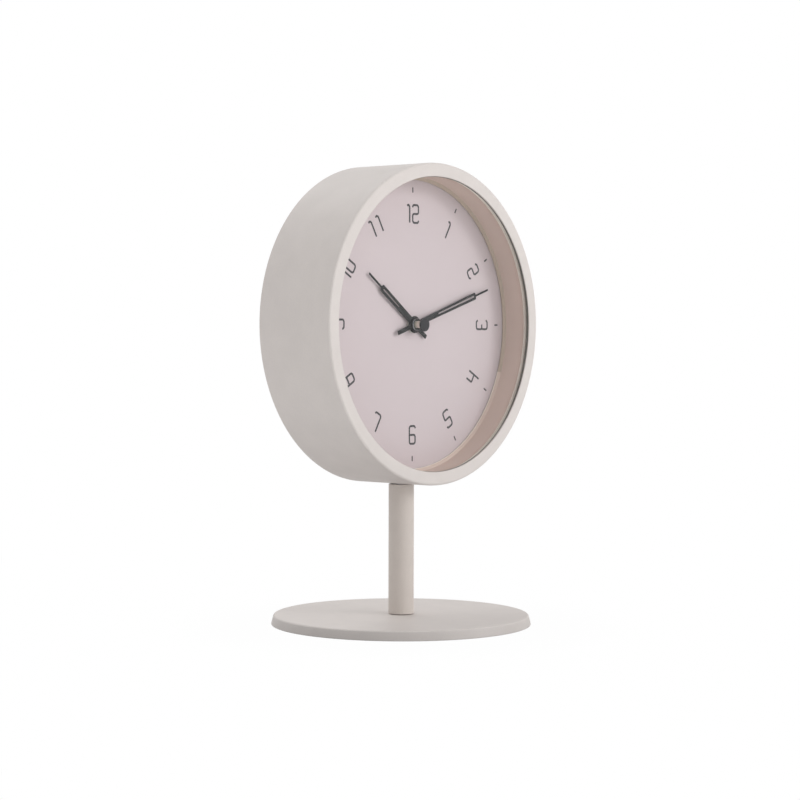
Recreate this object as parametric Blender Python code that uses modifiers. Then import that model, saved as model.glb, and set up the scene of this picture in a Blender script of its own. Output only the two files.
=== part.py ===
"""Table clock: a round steel case with a deep recessed dial, on a short post and a disc base.

Metres, +Z up. The origin is the middle of the underside. The dial faces -Y, and +X is to the viewer's right.
A depth is measured from the front plane of the case towards the rear.
"""

import math

import bmesh
import bpy
from mathutils import Matrix, Vector

# Driving dimensions
CASE_RADIUS = 0.080
CASE_DEPTH = 0.0463
CASE_FRONT_Y = -0.0245
HEAD_HEIGHT = 0.1515
LIP_WIDTH = 0.0067
DIAL_DEPTH = 0.0181
BASE_RADIUS = 0.0656
BASE_THICKNESS = 0.0048
POST_RADIUS = 0.0064
MOVEMENT_DEPTH = 0.016
MINUTE_HAND_LENGTH = 0.0603
HOUR_HAND_LENGTH = 0.0424
MINUTE_ANGLE = math.radians(72.4)
HOUR_ANGLE = math.radians(306.0)

# Shared details
GAP = 0.0003
RUNNING = 0.0001
MERGE = 0.00001
OVERRUN = 0.002
LARGE_STEPS = 64
HIDDEN_STEPS = 48
MEDIUM_STEPS = 32
SMALL_STEPS = 16
TINY_STEPS = 12
ROUND_SEGMENTS = 2

# Base and post
BASE_DRAFT = 0.0012
BASE_TOP_RADIUS = BASE_RADIUS - BASE_DRAFT
PAD_THICKNESS = 0.0013
PAD_INSET = 0.0056
PAD_RADIUS = BASE_RADIUS - PAD_INSET
PAD_HOLE_RADIUS = 0.0100
BASE_LIFT = 0.0006
BASE_EDGE_ROUND = 0.0008
BASE_TOP = BASE_LIFT + BASE_THICKNESS
RECESS_RADIUS = PAD_RADIUS + GAP
RECESS_TOP = PAD_THICKNESS + GAP
SCREW_RADIUS = 0.0024
SCREW_HEAD_RADIUS = 0.0047
SCREW_HEAD_HEIGHT = 0.0017
SCREW_LENGTH = 0.014
SCREW_SOCKET_RADIUS = 0.0020
SCREW_SOCKET_DEPTH = 0.0010
HEAD_TOP_SHARE = 0.8
HEAD_SIDE_SHARE = 0.6
SOCKET_SIDES = 6
COUNTERBORE_RADIUS = SCREW_HEAD_RADIUS + GAP
COUNTERBORE_DEPTH = SCREW_HEAD_HEIGHT + GAP
POST_WALL = 0.0012
POST_BOTTOM = BASE_TOP + GAP
POST_TOP = HEAD_HEIGHT - CASE_RADIUS - GAP
INSERT_RADIUS = POST_RADIUS - POST_WALL - GAP
INSERT_LENGTH = 0.018
INSERT_BORE = SCREW_RADIUS + GAP
SADDLE_RADIUS = 0.0048
SADDLE_HEIGHT = 0.0030

# Case, glass and dial
CASE_WALL = 0.0012
CASE_INNER_RADIUS = CASE_RADIUS - CASE_WALL
OPENING_RADIUS = CASE_RADIUS - LIP_WIDTH
CASE_EDGE_ROUND = 0.0012
LIP_THICKNESS = 0.0010
LIP_EDGE_ROUND = 0.0003
STACK_RADIUS = CASE_INNER_RADIUS - 2 * GAP
GASKET_THICKNESS = 0.0006
GASKET_DEPTH = LIP_THICKNESS + GAP
LENS_THICKNESS = 0.0015
LENS_DEPTH = GASKET_DEPTH + GASKET_THICKNESS + GAP
SPACER_DEPTH = LENS_DEPTH + LENS_THICKNESS + GAP
SPACER_END = DIAL_DEPTH - GAP
SPACER_WALL = 0.0010
SPACER_FOOT = 0.0009
SPACER_CHAMFER = 0.0005
DIAL_THICKNESS = 0.0012
DIAL_BACK = DIAL_DEPTH + DIAL_THICKNESS

# Clamps and rear cover
COVER_INSET = 0.0025
COVER_DEPTH = CASE_DEPTH - COVER_INSET
COVER_THICKNESS = 0.0010
CLAMP_ANGLES = (0.0, math.radians(120), math.radians(240))
CLAMP_FRONT = DIAL_BACK + GAP
CLAMP_BACK = COVER_DEPTH - GAP
CLAMP_FOOT_LENGTH = 0.0082
CLAMP_TAB_LENGTH = 0.0117
CLAMP_FOOT_RADIUS = STACK_RADIUS - CLAMP_FOOT_LENGTH
CLAMP_TAB_RADIUS = STACK_RADIUS - CLAMP_TAB_LENGTH
CLAMP_THICKNESS = 0.0012
CLAMP_WIDTH = 0.010
COVER_SCREW_INSET = 0.0070
COVER_SCREW_PLACE = STACK_RADIUS - COVER_SCREW_INSET
COVER_SCREW_RADIUS = 0.0013
COVER_SCREW_HOLE = COVER_SCREW_RADIUS + GAP
COVER_SCREW_HEAD = 0.0027
COVER_SCREW_HEAD_HEIGHT = 0.0013
COVER_SCREW_LENGTH = 0.005
WINDOW_MARGIN = 0.003
WINDOW_ROUND = 0.005

# Movement housings
RUBBER_THICKNESS = 0.0005
RUBBER_RADIUS = 0.011
RUBBER_DEPTH = DIAL_BACK + GAP
MOVEMENT_FRONT = RUBBER_DEPTH + RUBBER_THICKNESS + GAP
MOVEMENT_BACK = MOVEMENT_FRONT + MOVEMENT_DEPTH
HOUSING_ROUND = 0.0025
HOUSING_PLATE = 0.0013
HOUSING_WALL = 0.0010
HOUSING_SPLIT_SHARE = 0.7
HOUSING_SPLIT = MOVEMENT_FRONT + HOUSING_SPLIT_SHARE * MOVEMENT_DEPTH
HOUSING_INNER_FRONT = MOVEMENT_FRONT + HOUSING_PLATE
REAR_PLATE_DEPTH = MOVEMENT_BACK - HOUSING_PLATE
CELL_RADIUS = 0.0071
CELL_LENGTH = 0.0489
CELL_NUB_RADIUS = 0.0027
CELL_NUB_LENGTH = 0.0010
CELL_EDGE_ROUND = 0.0006
CELL_DEPTH = HOUSING_INNER_FRONT + GAP + CELL_RADIUS
CONTACT_SPACE = 0.00075
BAY_HALF_LENGTH = (CELL_LENGTH + CELL_NUB_LENGTH) / 2 + CONTACT_SPACE
BAY_HALF_WIDTH = CELL_RADIUS + GAP
BAY_WALL = 0.0008
BAY_END_MARGIN = 0.0005
BAY_SIDE_MARGIN = 0.0006
INNER_HALF = BAY_HALF_LENGTH + BAY_WALL + BAY_END_MARGIN
MOVEMENT_HALF = INNER_HALF + HOUSING_WALL
CELL_DROP = INNER_HALF - BAY_SIDE_MARGIN - BAY_WALL - BAY_HALF_WIDTH
BAY_FRONT = HOUSING_INNER_FRONT + GAP
CONTACT_THICKNESS = 0.0003
CONTACT_HEIGHT = 0.0100
CONTACT_WIDTH = 0.0080
CONTACT_SHIFT = 0.0002

# Shaft stack in front of and through the dial
BUSH_RADIUS = 0.0034
BUSH_BORE = 0.0024
BUSH_FLANGE_RADIUS = 0.0060
BUSH_FLANGE_THICKNESS = 0.0008
BUSH_FLANGE_DEPTH = HOUSING_INNER_FRONT + GAP
NUT_RADIUS = 0.0048
NUT_THICKNESS = 0.0007
NUT_DEPTH = DIAL_DEPTH - GAP - NUT_THICKNESS
BUSH_FRONT = NUT_DEPTH
THREAD_CLEARANCE = BUSH_RADIUS + GAP
HAND_THICKNESS = 0.0004
HOUR_HAND_DEPTH = BUSH_FRONT - GAP - HAND_THICKNESS
MINUTE_HAND_DEPTH = HOUR_HAND_DEPTH - GAP - HAND_THICKNESS
HAND_NUT_RADIUS = 0.0031
HAND_NUT_THICKNESS = 0.0005
HAND_NUT_DEPTH = MINUTE_HAND_DEPTH - GAP - HAND_NUT_THICKNESS
SECONDS_TUBE_RADIUS = 0.0018
SECONDS_CAP_RADIUS = 0.0037
SECONDS_CAP_THICKNESS = 0.0008
SECONDS_CAP_REACH = 0.0078
SECONDS_CAP_DEPTH = DIAL_DEPTH - SECONDS_CAP_REACH
SECONDS_TUBE_FRONT = SECONDS_CAP_DEPTH + SECONDS_CAP_THICKNESS + GAP
SECONDS_TUBE_BACK = HAND_NUT_DEPTH - GAP

# Hands, as lengths from the axis. Half widths go from the hub to the shoulder
HOUR_HALF_WIDTHS = (0.0017, 0.0019)
MINUTE_HALF_WIDTHS = (0.00135, 0.00180)
NEEDLE_HALF_WIDTH = 0.0005
TAIL_HALF_WIDTH = 0.0011
HOUR_HUB_RADIUS = 0.0043
MINUTE_HUB_RADIUS = 0.0038
HOUR_NEEDLE_START = 0.0312
HOUR_SLOT = (0.0146, 0.0294)
HOUR_TAIL = 0.0099
MINUTE_NEEDLE_START = 0.0500
MINUTE_SLOT = (0.0186, 0.0486)
MINUTE_TAIL = 0.0142
SLOT_HALF_WIDTHS = (0.00035, 0.00050)
SHOULDER_LENGTH = 0.0006

# Train: arbors as (distance, angle from +X towards +Z) about the hand axis
SETTING_ARBOR_REACH = 0.0090
SETTING_ANGLE = math.radians(135)
SLOW_ARBOR_REACH = 0.0080
THIRD_ANGLE = math.radians(-10)
FAST_ARBOR_REACH = 0.0082
STEP_ANGLE = math.radians(60)
MAGNET_ARBOR_REACH = 0.00672
ROTOR_ANGLE = math.radians(40)

# Tooth counts: each pair's module follows from its centre distance
CANNON_TEETH = 10
MINUTE_WHEEL_TEETH = 30
MINUTE_PINION_TEETH = 8
HOUR_WHEEL_TEETH = 32
SECONDS_PINION_TEETH = 6
THIRD_WHEEL_TEETH = 45
THIRD_PINION_TEETH = 6
CENTRE_WHEEL_TEETH = 48
STEP_PINION_TEETH = 6
SECONDS_WHEEL_TEETH = 30
ROTOR_PINION_TEETH = 6
STEP_WHEEL_TEETH = 36
ADDENDUM_SHARE = 0.60
DEDENDUM_SHARE = 1.00
TIP_WIDTH_SHARE = 0.10

# Where each layer inside the movement starts, as shares of the movement's depth
HOUR_WHEEL_SHARE = 0.1875
MINUTE_PINION_SHARE = 0.175
CANNON_PINION_SHARE = 0.2625
MINUTE_WHEEL_SHARE = 0.26875
CANNON_END_SHARE = 0.3375
CENTRE_WHEEL_SHARE = 0.3625
THIRD_PINION_SHARE = 0.35
THIRD_WHEEL_SHARE = 0.45
SECONDS_PINION_SHARE = 0.44375
SECONDS_WHEEL_SHARE = 0.55625
STEP_PINION_SHARE = 0.54375
STEP_WHEEL_SHARE = 0.6375
ROTOR_PINION_SHARE = 0.63125
MAGNET_SHARE = 0.43125
STATOR_SHARE = 0.4625
COIL_SHARE = 0.28125
BRIDGE_SHARE = 0.79375

# Thicknesses and radii inside the movement
WHEEL_THICKNESS = 0.0007
PINION_THICKNESS = 0.0010
CENTRE_WHEEL_BORE = 0.0012
MAGNET_THICKNESS = 0.0024
MAGNET_RADIUS = 0.0026
BRIDGE_THICKNESS = 0.0009
BRIDGE_MARGIN = 0.0021
PIVOT_END = MOVEMENT_FRONT + BRIDGE_SHARE * MOVEMENT_DEPTH + BRIDGE_THICKNESS
PIVOT_START = HOUSING_INNER_FRONT - HOUSING_PLATE / 2
SECONDS_ARBOR_RADIUS = 0.0007
CANNON_BORE = SECONDS_ARBOR_RADIUS + RUNNING
CANNON_RADIUS = 0.0017
HOUR_TUBE_BORE = CANNON_RADIUS + RUNNING
HOUR_TUBE_RADIUS = BUSH_BORE - RUNNING
TRAIN_ARBOR_RADIUS = 0.0004
SETTING_ARBOR_RADIUS = 0.0010
KNOB_RADIUS = 0.0045
KNOB_THICKNESS = 0.0026
KNOB_DEPTH = MOVEMENT_BACK + GAP
KNOB_FLUTES = 14
KNOB_FLUTE_SHARE = 0.9

# Seconds, third, step, rotor and setting arbors
ARBOR_RADII = (
    SECONDS_ARBOR_RADIUS,
    TRAIN_ARBOR_RADIUS,
    TRAIN_ARBOR_RADIUS,
    TRAIN_ARBOR_RADIUS,
    SETTING_ARBOR_RADIUS,
)

# Electrics
STATOR_THICKNESS = 0.0008
STATOR_HOLE = 0.0031
STATOR_LEFT = -0.0180
STATOR_RIGHT = 0.0145
STATOR_LEG = 0.0042
STATOR_MARGIN = 0.0025
STATOR_TOP = INNER_HALF - STATOR_MARGIN
STATOR_YOKE_TOP = 0.0158
STATOR_YOKE_BOTTOM = 0.0085
STATOR_NECK_X = 0.0053
STATOR_POLE_BOTTOM = 0.0062
COIL_SETBACK = 0.0037
COIL_HEIGHT = STATOR_TOP - COIL_SETBACK
COIL_MARGIN = 0.0015
COIL_START = STATOR_LEFT + COIL_MARGIN
COIL_END = STATOR_RIGHT - COIL_MARGIN
COIL_CORE = 0.0011
COIL_RADIUS = 0.0023
COIL_FLANGE_RADIUS = 0.0026
COIL_FLANGE = 0.0008
BOARD_MARGIN = 0.0015
BOARD_WIDTH = 0.0130
BOARD_LEFT = BOARD_MARGIN - INNER_HALF
BOARD_RIGHT = BOARD_LEFT + BOARD_WIDTH
BOARD_BOTTOM = -0.0070
BOARD_TOP = 0.0170
BOARD_THICKNESS = 0.0008
CRYSTAL_RADIUS = 0.0010
CRYSTAL_LENGTH = 0.0060
CRYSTAL_DROP = 0.0040
CHIP_SIDE = 0.0045
CHIP_HEIGHT = 0.0010
CHIP_RISE = 0.0110

# Colours, linear
CASE_COLOUR = (0.56, 0.52, 0.49)
DIAL_COLOUR = (0.60, 0.54, 0.54)
DARK_COLOUR = (0.06, 0.06, 0.065)
HAND_COLOUR = (0.045, 0.045, 0.048)
GLASS_COLOUR = (0.92, 0.95, 0.95)
STEEL_COLOUR = (0.60, 0.60, 0.60)
BRASS_COLOUR = (0.72, 0.52, 0.22)
WHITE_COLOUR = (0.78, 0.76, 0.70)
COPPER_COLOUR = (0.60, 0.25, 0.12)
BOARD_COLOUR = (0.04, 0.20, 0.10)
CELL_COLOUR = (0.10, 0.22, 0.42)

TURNED_TO_FRONT = (math.radians(90), 0.0, 0.0)


def collection(name):
    """A new collection in the scene."""
    made = bpy.data.collections.new(name)
    bpy.context.scene.collection.children.link(made)
    return made


def finish(name, colour, roughness, metallic=0.0):
    """A material with a Principled BSDF."""
    made = bpy.data.materials.new(name)
    made.use_nodes = True
    shader = made.node_tree.nodes["Principled BSDF"]
    shader.inputs["Base Color"].default_value = (*colour, 1.0)
    shader.inputs["Roughness"].default_value = roughness
    shader.inputs["Metallic"].default_value = metallic
    return made


def link(obj, material=None):
    """Puts an object among the parts, with its material."""
    PARTS.objects.link(obj)
    if material:
        obj.data.materials.append(material)
    return obj


def as_cutter(obj):
    """Moves an object among the cutters, which are not part of the clock."""
    PARTS.objects.unlink(obj)
    CUTTERS.objects.link(obj)
    obj.hide_render = True
    obj.display_type = "WIRE"
    return obj


def boolean(obj, other, operation):
    """Cuts, joins or intersects an object with a helper."""
    modifier = obj.modifiers.new(f"{operation.title()} {other.name}", "BOOLEAN")
    modifier.operation = operation
    modifier.object = as_cutter(other)
    return obj


def mesh_object(name, shape, material, place, turn):
    """An object from a bmesh."""
    mesh = bpy.data.meshes.new(name)
    shape.to_mesh(mesh)
    shape.free()
    obj = bpy.data.objects.new(name, mesh)
    obj.location = place
    obj.rotation_euler = turn
    return link(obj, material)


def turned(name, profile, material, place, turn=(0.0, 0.0, 0.0), steps=SMALL_STEPS, closed=False):
    """A turned shape. The profile is (radius, height) points, down the outer side."""
    shape = bmesh.new()
    points = [shape.verts.new((radius, 0.0, height)) for radius, height in profile]
    for first, second in zip(points, points[1:]):
        shape.edges.new((first, second))
    if closed:
        shape.edges.new((points[-1], points[0]))
    obj = mesh_object(name, shape, material, place, turn)
    screw = obj.modifiers.new("Turn", "SCREW")
    screw.axis = "Z"
    screw.steps = steps
    screw.render_steps = steps
    screw.use_merge_vertices = True
    screw.merge_threshold = MERGE
    screw.use_smooth_shade = False
    return obj


def disc_profile(radius, top, bottom):
    """A solid disc or rod between two heights."""
    return [(0.0, top), (radius, top), (radius, bottom), (0.0, bottom)]


def ring_profile(inner, outer, top, bottom):
    """A ring of rectangular section."""
    return [(outer, top), (outer, bottom), (inner, bottom), (inner, top)]


def arc(centre, radius, start, end, segments=ROUND_SEGMENTS):
    """Points on an arc, with angles in degrees from the radius axis."""
    found = []
    for step in range(segments + 1):
        angle = math.radians(start + (end - start) * step / segments)
        found.append((centre[0] + radius * math.cos(angle), centre[1] + radius * math.sin(angle)))
    return found


def head_point(x=0.0, z=0.0, depth=0.0):
    """A place on the head: x and z from the hand axis, and the depth."""
    return Vector((x, CASE_FRONT_Y + depth, HEAD_HEIGHT + z))


def head_disc(name, radius, front, back, material, x=0.0, z=0.0, steps=SMALL_STEPS):
    """A disc facing the viewer between two depths."""
    profile = disc_profile(radius, -front, -back)
    return turned(name, profile, material, head_point(x, z), TURNED_TO_FRONT, steps)


def head_ring(name, inner, outer, front, back, material, x=0.0, z=0.0, steps=SMALL_STEPS):
    """A ring facing the viewer between two depths."""
    profile = ring_profile(inner, outer, -front, -back)
    return turned(name, profile, material, head_point(x, z), TURNED_TO_FRONT, steps, closed=True)


def flat(name, outlines, front, thickness, material, x=0.0, z=0.0, spin=0.0):
    """A flat plate facing the viewer, from closed outlines. Inner outlines are holes."""
    curve = bpy.data.curves.new(name, "CURVE")
    curve.dimensions = "2D"
    curve.fill_mode = "BOTH"
    curve.extrude = thickness / 2
    for outline in outlines:
        spline = curve.splines.new("POLY")
        spline.points.add(len(outline) - 1)
        for point, (across, up) in zip(spline.points, outline):
            point.co = (across, up, 0.0, 1.0)
        spline.use_cyclic_u = True
    place = head_point(x, z, front + thickness / 2)
    return meshed(name, curve, material, place, (TURNED_TO_FRONT[0], spin, 0.0))


def meshed(name, curve, material, place, turn):
    """A mesh object from a curve, with its caps welded."""
    source = bpy.data.objects.new(f"{name} outline", curve)
    bpy.context.scene.collection.objects.link(source)
    bpy.context.view_layer.update()
    graph = bpy.context.evaluated_depsgraph_get()
    mesh = bpy.data.meshes.new_from_object(source.evaluated_get(graph))
    shape = bmesh.new()
    shape.from_mesh(mesh)
    bmesh.ops.remove_doubles(shape, verts=shape.verts, dist=MERGE)
    bpy.data.objects.remove(source)
    bpy.data.meshes.remove(mesh)
    return mesh_object(name, shape, material, place, turn)


def circle(radius, steps=SMALL_STEPS, x=0.0, z=0.0):
    """A round outline."""
    turns = [2 * math.pi * step / steps for step in range(steps)]
    return [(x + radius * math.cos(turn), z + radius * math.sin(turn)) for turn in turns]


def rounded_rectangle(left, right, bottom, top, corner, segments=3):
    """An outline with round corners."""
    corners = (
        ((right - corner, bottom + corner), -90),
        ((right - corner, top - corner), 0),
        ((left + corner, top - corner), 90),
        ((left + corner, bottom + corner), 180),
    )
    found = []
    for centre, start in corners:
        found += arc(centre, corner, start, start + 90, segments)
    return found


def square(half, corner):
    """A square outline about the hand axis."""
    return rounded_rectangle(-half, half, -half, half, corner)


def polar(distance, angle, start=(0.0, 0.0)):
    """A place at a distance and angle from another."""
    return start[0] + distance * math.cos(angle), start[1] + distance * math.sin(angle)


def gear_outline(teeth, module, phase):
    """A gear's outline with one tooth centred at the phase angle."""
    pitch_radius = teeth * module / 2
    tip = pitch_radius + ADDENDUM_SHARE * module
    root = pitch_radius - DEDENDUM_SHARE * module
    step = 2 * math.pi / teeth
    found = []
    for tooth in range(teeth):
        middle = phase + tooth * step
        corners = ((root, -1), (tip, -TIP_WIDTH_SHARE), (tip, TIP_WIDTH_SHARE))
        found += [polar(radius, middle + share * step / 2) for radius, share in corners]
    return found


def level(share):
    """The depth of a layer inside the movement."""
    return MOVEMENT_FRONT + share * MOVEMENT_DEPTH


def gear(name, teeth, module, phase, layer_share, thickness, place, material, bore=0.0):
    """A flat gear in a layer of the movement."""
    outlines = [gear_outline(teeth, module, phase)]
    if bore:
        outlines.append(circle(bore, TINY_STEPS))
    return flat(name, outlines, level(layer_share), thickness, material, *place)


def module_of(distance, teeth, other_teeth):
    """The module of a pair from its centre distance."""
    return 2 * distance / (teeth + other_teeth)


def meshing_phase(angle, teeth):
    """The phase that puts a gap, not a tooth, on the line at an angle."""
    return angle + math.pi / teeth


def box(name, left, right, front, back, bottom, top, material):
    """A box on the head, in x, depth and height about the hand axis."""
    shape = bmesh.new()
    bmesh.ops.create_cube(shape, size=1.0)
    scale = Matrix.Diagonal((right - left, back - front, top - bottom, 1.0))
    shape.transform(scale)
    middle = head_point((left + right) / 2, (bottom + top) / 2, (front + back) / 2)
    return mesh_object(name, shape, material, middle, (0.0, 0.0, 0.0))


def rod_across(name, radius, start, end, z, depth, material, steps=SMALL_STEPS):
    """A rod along X between two x places on the head."""
    profile = disc_profile(radius, end, start)
    return turned(name, profile, material, head_point(0.0, z, depth), (0.0, math.radians(90), 0.0), steps)


def screw(name, material, place, turn, shank, length, head_radius, head_height, socket, socket_depth):
    """A pan head screw. Its head's underside is at the place and the shank runs down local Z."""
    profile = [
        (0.0, head_height),
        (HEAD_TOP_SHARE * head_radius, head_height),
        (head_radius, HEAD_SIDE_SHARE * head_height),
        (head_radius, 0.0),
        (shank, 0.0),
        (shank, -length),
        (0.0, -length),
    ]
    body = turned(name, profile, material, place, turn, SMALL_STEPS)
    cut_profile = disc_profile(socket, head_height + OVERRUN, head_height - socket_depth)
    cutter = turned(f"{name} socket", cut_profile, None, place, turn, SOCKET_SIDES)
    return boolean(body, cutter, "DIFFERENCE")


def arbor_places():
    """Where the arbors stand: seconds, third, step, rotor and setting."""
    step = polar(FAST_ARBOR_REACH, STEP_ANGLE)
    return (
        (0.0, 0.0),
        polar(SLOW_ARBOR_REACH, THIRD_ANGLE),
        step,
        polar(MAGNET_ARBOR_REACH, ROTOR_ANGLE, step),
        polar(SETTING_ARBOR_REACH, SETTING_ANGLE),
    )


def stand():
    """Base plate, pad, post, its inserts and the two screws."""
    steel = finish("Powder coated steel", CASE_COLOUR, 0.55)
    bare = finish("Zinc plated steel", STEEL_COLOUR, 0.35, 1.0)
    foam = finish("Foam", DARK_COLOUR, 0.9)
    slope = (BASE_RADIUS - BASE_TOP_RADIUS) / BASE_THICKNESS
    shoulder = BASE_TOP_RADIUS + slope * BASE_EDGE_ROUND
    edge_centre = (shoulder - BASE_EDGE_ROUND, BASE_TOP - BASE_EDGE_ROUND)
    bore_top = RECESS_TOP + COUNTERBORE_DEPTH
    profile = [
        *arc(edge_centre, BASE_EDGE_ROUND, 90, 0),
        (BASE_RADIUS, BASE_LIFT),
        (RECESS_RADIUS, BASE_LIFT),
        (RECESS_RADIUS, RECESS_TOP),
        (COUNTERBORE_RADIUS, RECESS_TOP),
        (COUNTERBORE_RADIUS, bore_top),
        (INSERT_BORE, bore_top),
        (INSERT_BORE, BASE_TOP),
    ]
    turned("base_plate", profile, steel, (0.0, 0.0, 0.0), steps=LARGE_STEPS, closed=True)
    pad = ring_profile(PAD_HOLE_RADIUS, PAD_RADIUS, PAD_THICKNESS, 0.0)
    turned("base_pad", pad, foam, (0.0, 0.0, 0.0), steps=HIDDEN_STEPS, closed=True)
    head = (SCREW_RADIUS, SCREW_LENGTH, SCREW_HEAD_RADIUS, SCREW_HEAD_HEIGHT)
    socket = (SCREW_SOCKET_RADIUS, SCREW_SOCKET_DEPTH)
    upside_down = (math.radians(180), 0.0, 0.0)
    screw("base_screw", bare, (0.0, 0.0, bore_top - GAP), upside_down, *head, *socket)
    tube = ring_profile(POST_RADIUS - POST_WALL, POST_RADIUS, POST_TOP, POST_BOTTOM)
    turned("post_tube", tube, steel, (0.0, 0.0, 0.0), steps=MEDIUM_STEPS, closed=True)
    foot = ring_profile(INSERT_BORE, INSERT_RADIUS, POST_BOTTOM + INSERT_LENGTH, POST_BOTTOM)
    turned("post_foot_insert", foot, bare, (0.0, 0.0, 0.0), closed=True)
    neck = ring_profile(INSERT_BORE, INSERT_RADIUS, POST_TOP, POST_TOP - INSERT_LENGTH)
    turned("post_head_insert", neck, bare, (0.0, 0.0, 0.0), closed=True)
    inner_floor = HEAD_HEIGHT - CASE_INNER_RADIUS
    saddle_top = inner_floor + GAP + SADDLE_HEIGHT
    blank = ring_profile(INSERT_BORE, SADDLE_RADIUS, saddle_top, inner_floor - OVERRUN)
    saddle = turned("head_saddle", blank, bare, (0.0, 0.0, 0.0), steps=SMALL_STEPS, closed=True)
    seat = head_disc("saddle seat", CASE_INNER_RADIUS - GAP, 0.0, CASE_DEPTH, None, steps=LARGE_STEPS)
    boolean(saddle, seat, "INTERSECT")
    screw("head_screw", bare, (0.0, 0.0, saddle_top + GAP), (0.0, 0.0, 0.0), *head, *socket)


def case():
    """Drum, gasket, glass, spacer ring and dial."""
    steel = finish("Case powder coated steel", CASE_COLOUR, 0.55)
    rubber = finish("Gasket rubber", DARK_COLOUR, 0.6)
    glass = finish("Glass", GLASS_COLOUR, 0.05)
    wall = finish("Spacer powder coat", CASE_COLOUR, 0.6)
    paint = finish("Dial paint", DIAL_COLOUR, 0.6)
    outer = arc((CASE_RADIUS - CASE_EDGE_ROUND, -CASE_EDGE_ROUND), CASE_EDGE_ROUND, 90, 0)
    opening = arc((OPENING_RADIUS + LIP_EDGE_ROUND, -LIP_EDGE_ROUND), LIP_EDGE_ROUND, 180, 90)
    profile = [
        *outer,
        (CASE_RADIUS, -CASE_DEPTH),
        (CASE_INNER_RADIUS, -CASE_DEPTH),
        (CASE_INNER_RADIUS, -LIP_THICKNESS),
        (OPENING_RADIUS, -LIP_THICKNESS),
        *opening,
    ]
    drum = turned("case_drum", profile, steel, head_point(), TURNED_TO_FRONT, LARGE_STEPS, closed=True)
    hole_profile = disc_profile(INSERT_BORE, HEAD_HEIGHT, POST_TOP)
    boolean(drum, turned("case hole", hole_profile, None, (0.0, 0.0, 0.0)), "DIFFERENCE")
    gasket_back = GASKET_DEPTH + GASKET_THICKNESS
    gasket = (OPENING_RADIUS, STACK_RADIUS, GASKET_DEPTH, gasket_back)
    head_ring("lens_gasket", *gasket, rubber, steps=HIDDEN_STEPS)
    lens_back = LENS_DEPTH + LENS_THICKNESS
    head_disc("lens", STACK_RADIUS, LENS_DEPTH, lens_back, glass, steps=HIDDEN_STEPS)
    foot_front = -SPACER_END + SPACER_WALL
    foot_inner = OPENING_RADIUS - SPACER_FOOT
    spacer = [
        (STACK_RADIUS, -SPACER_DEPTH),
        (STACK_RADIUS, -SPACER_DEPTH - SPACER_WALL),
        (OPENING_RADIUS + SPACER_WALL, -SPACER_DEPTH - SPACER_WALL),
        (OPENING_RADIUS + SPACER_WALL, foot_front),
        (STACK_RADIUS, foot_front),
        (STACK_RADIUS, -SPACER_END),
        (foot_inner, -SPACER_END),
        (foot_inner, -SPACER_END + SPACER_CHAMFER),
        (OPENING_RADIUS, -SPACER_END + SPACER_CHAMFER + SPACER_FOOT),
        (OPENING_RADIUS, -SPACER_DEPTH),
    ]
    turned("spacer_ring", spacer, wall, head_point(), TURNED_TO_FRONT, HIDDEN_STEPS, closed=True)
    dial = (THREAD_CLEARANCE, STACK_RADIUS, DIAL_DEPTH, DIAL_BACK)
    head_ring("dial_plate", *dial, paint, steps=HIDDEN_STEPS)


def clamp(name, angle, material):
    """A bracket inside the case wall, with a foot on the dial and a tab for a cover screw."""
    inner = STACK_RADIUS - CLAMP_THICKNESS
    outline = [
        (CLAMP_FOOT_RADIUS, CLAMP_FRONT),
        (STACK_RADIUS, CLAMP_FRONT),
        (STACK_RADIUS, CLAMP_BACK),
        (CLAMP_TAB_RADIUS, CLAMP_BACK),
        (CLAMP_TAB_RADIUS, CLAMP_BACK - CLAMP_THICKNESS),
        (inner, CLAMP_BACK - CLAMP_THICKNESS),
        (inner, CLAMP_FRONT + CLAMP_THICKNESS),
        (CLAMP_FOOT_RADIUS, CLAMP_FRONT + CLAMP_THICKNESS),
    ]
    curve = bpy.data.curves.new(name, "CURVE")
    curve.dimensions = "2D"
    curve.fill_mode = "BOTH"
    curve.extrude = CLAMP_WIDTH / 2
    spline = curve.splines.new("POLY")
    spline.points.add(len(outline) - 1)
    for point, (outward, depth) in zip(spline.points, outline):
        point.co = (outward, depth, 0.0, 1.0)
    spline.use_cyclic_u = True
    outward = Vector((math.sin(angle), 0.0, math.cos(angle)))
    rearward = Vector((0.0, 1.0, 0.0))
    turn = Matrix((outward, rearward, outward.cross(rearward))).transposed().to_euler()
    bracket = meshed(name, curve, material, head_point(), turn)
    x, z = COVER_SCREW_PLACE * math.sin(angle), COVER_SCREW_PLACE * math.cos(angle)
    span = (CLAMP_BACK - CLAMP_THICKNESS - OVERRUN, CLAMP_BACK + OVERRUN)
    cutter = head_disc(f"{name} hole", COVER_SCREW_HOLE, *span, None, x, z, TINY_STEPS)
    return boolean(bracket, cutter, "DIFFERENCE")


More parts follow.
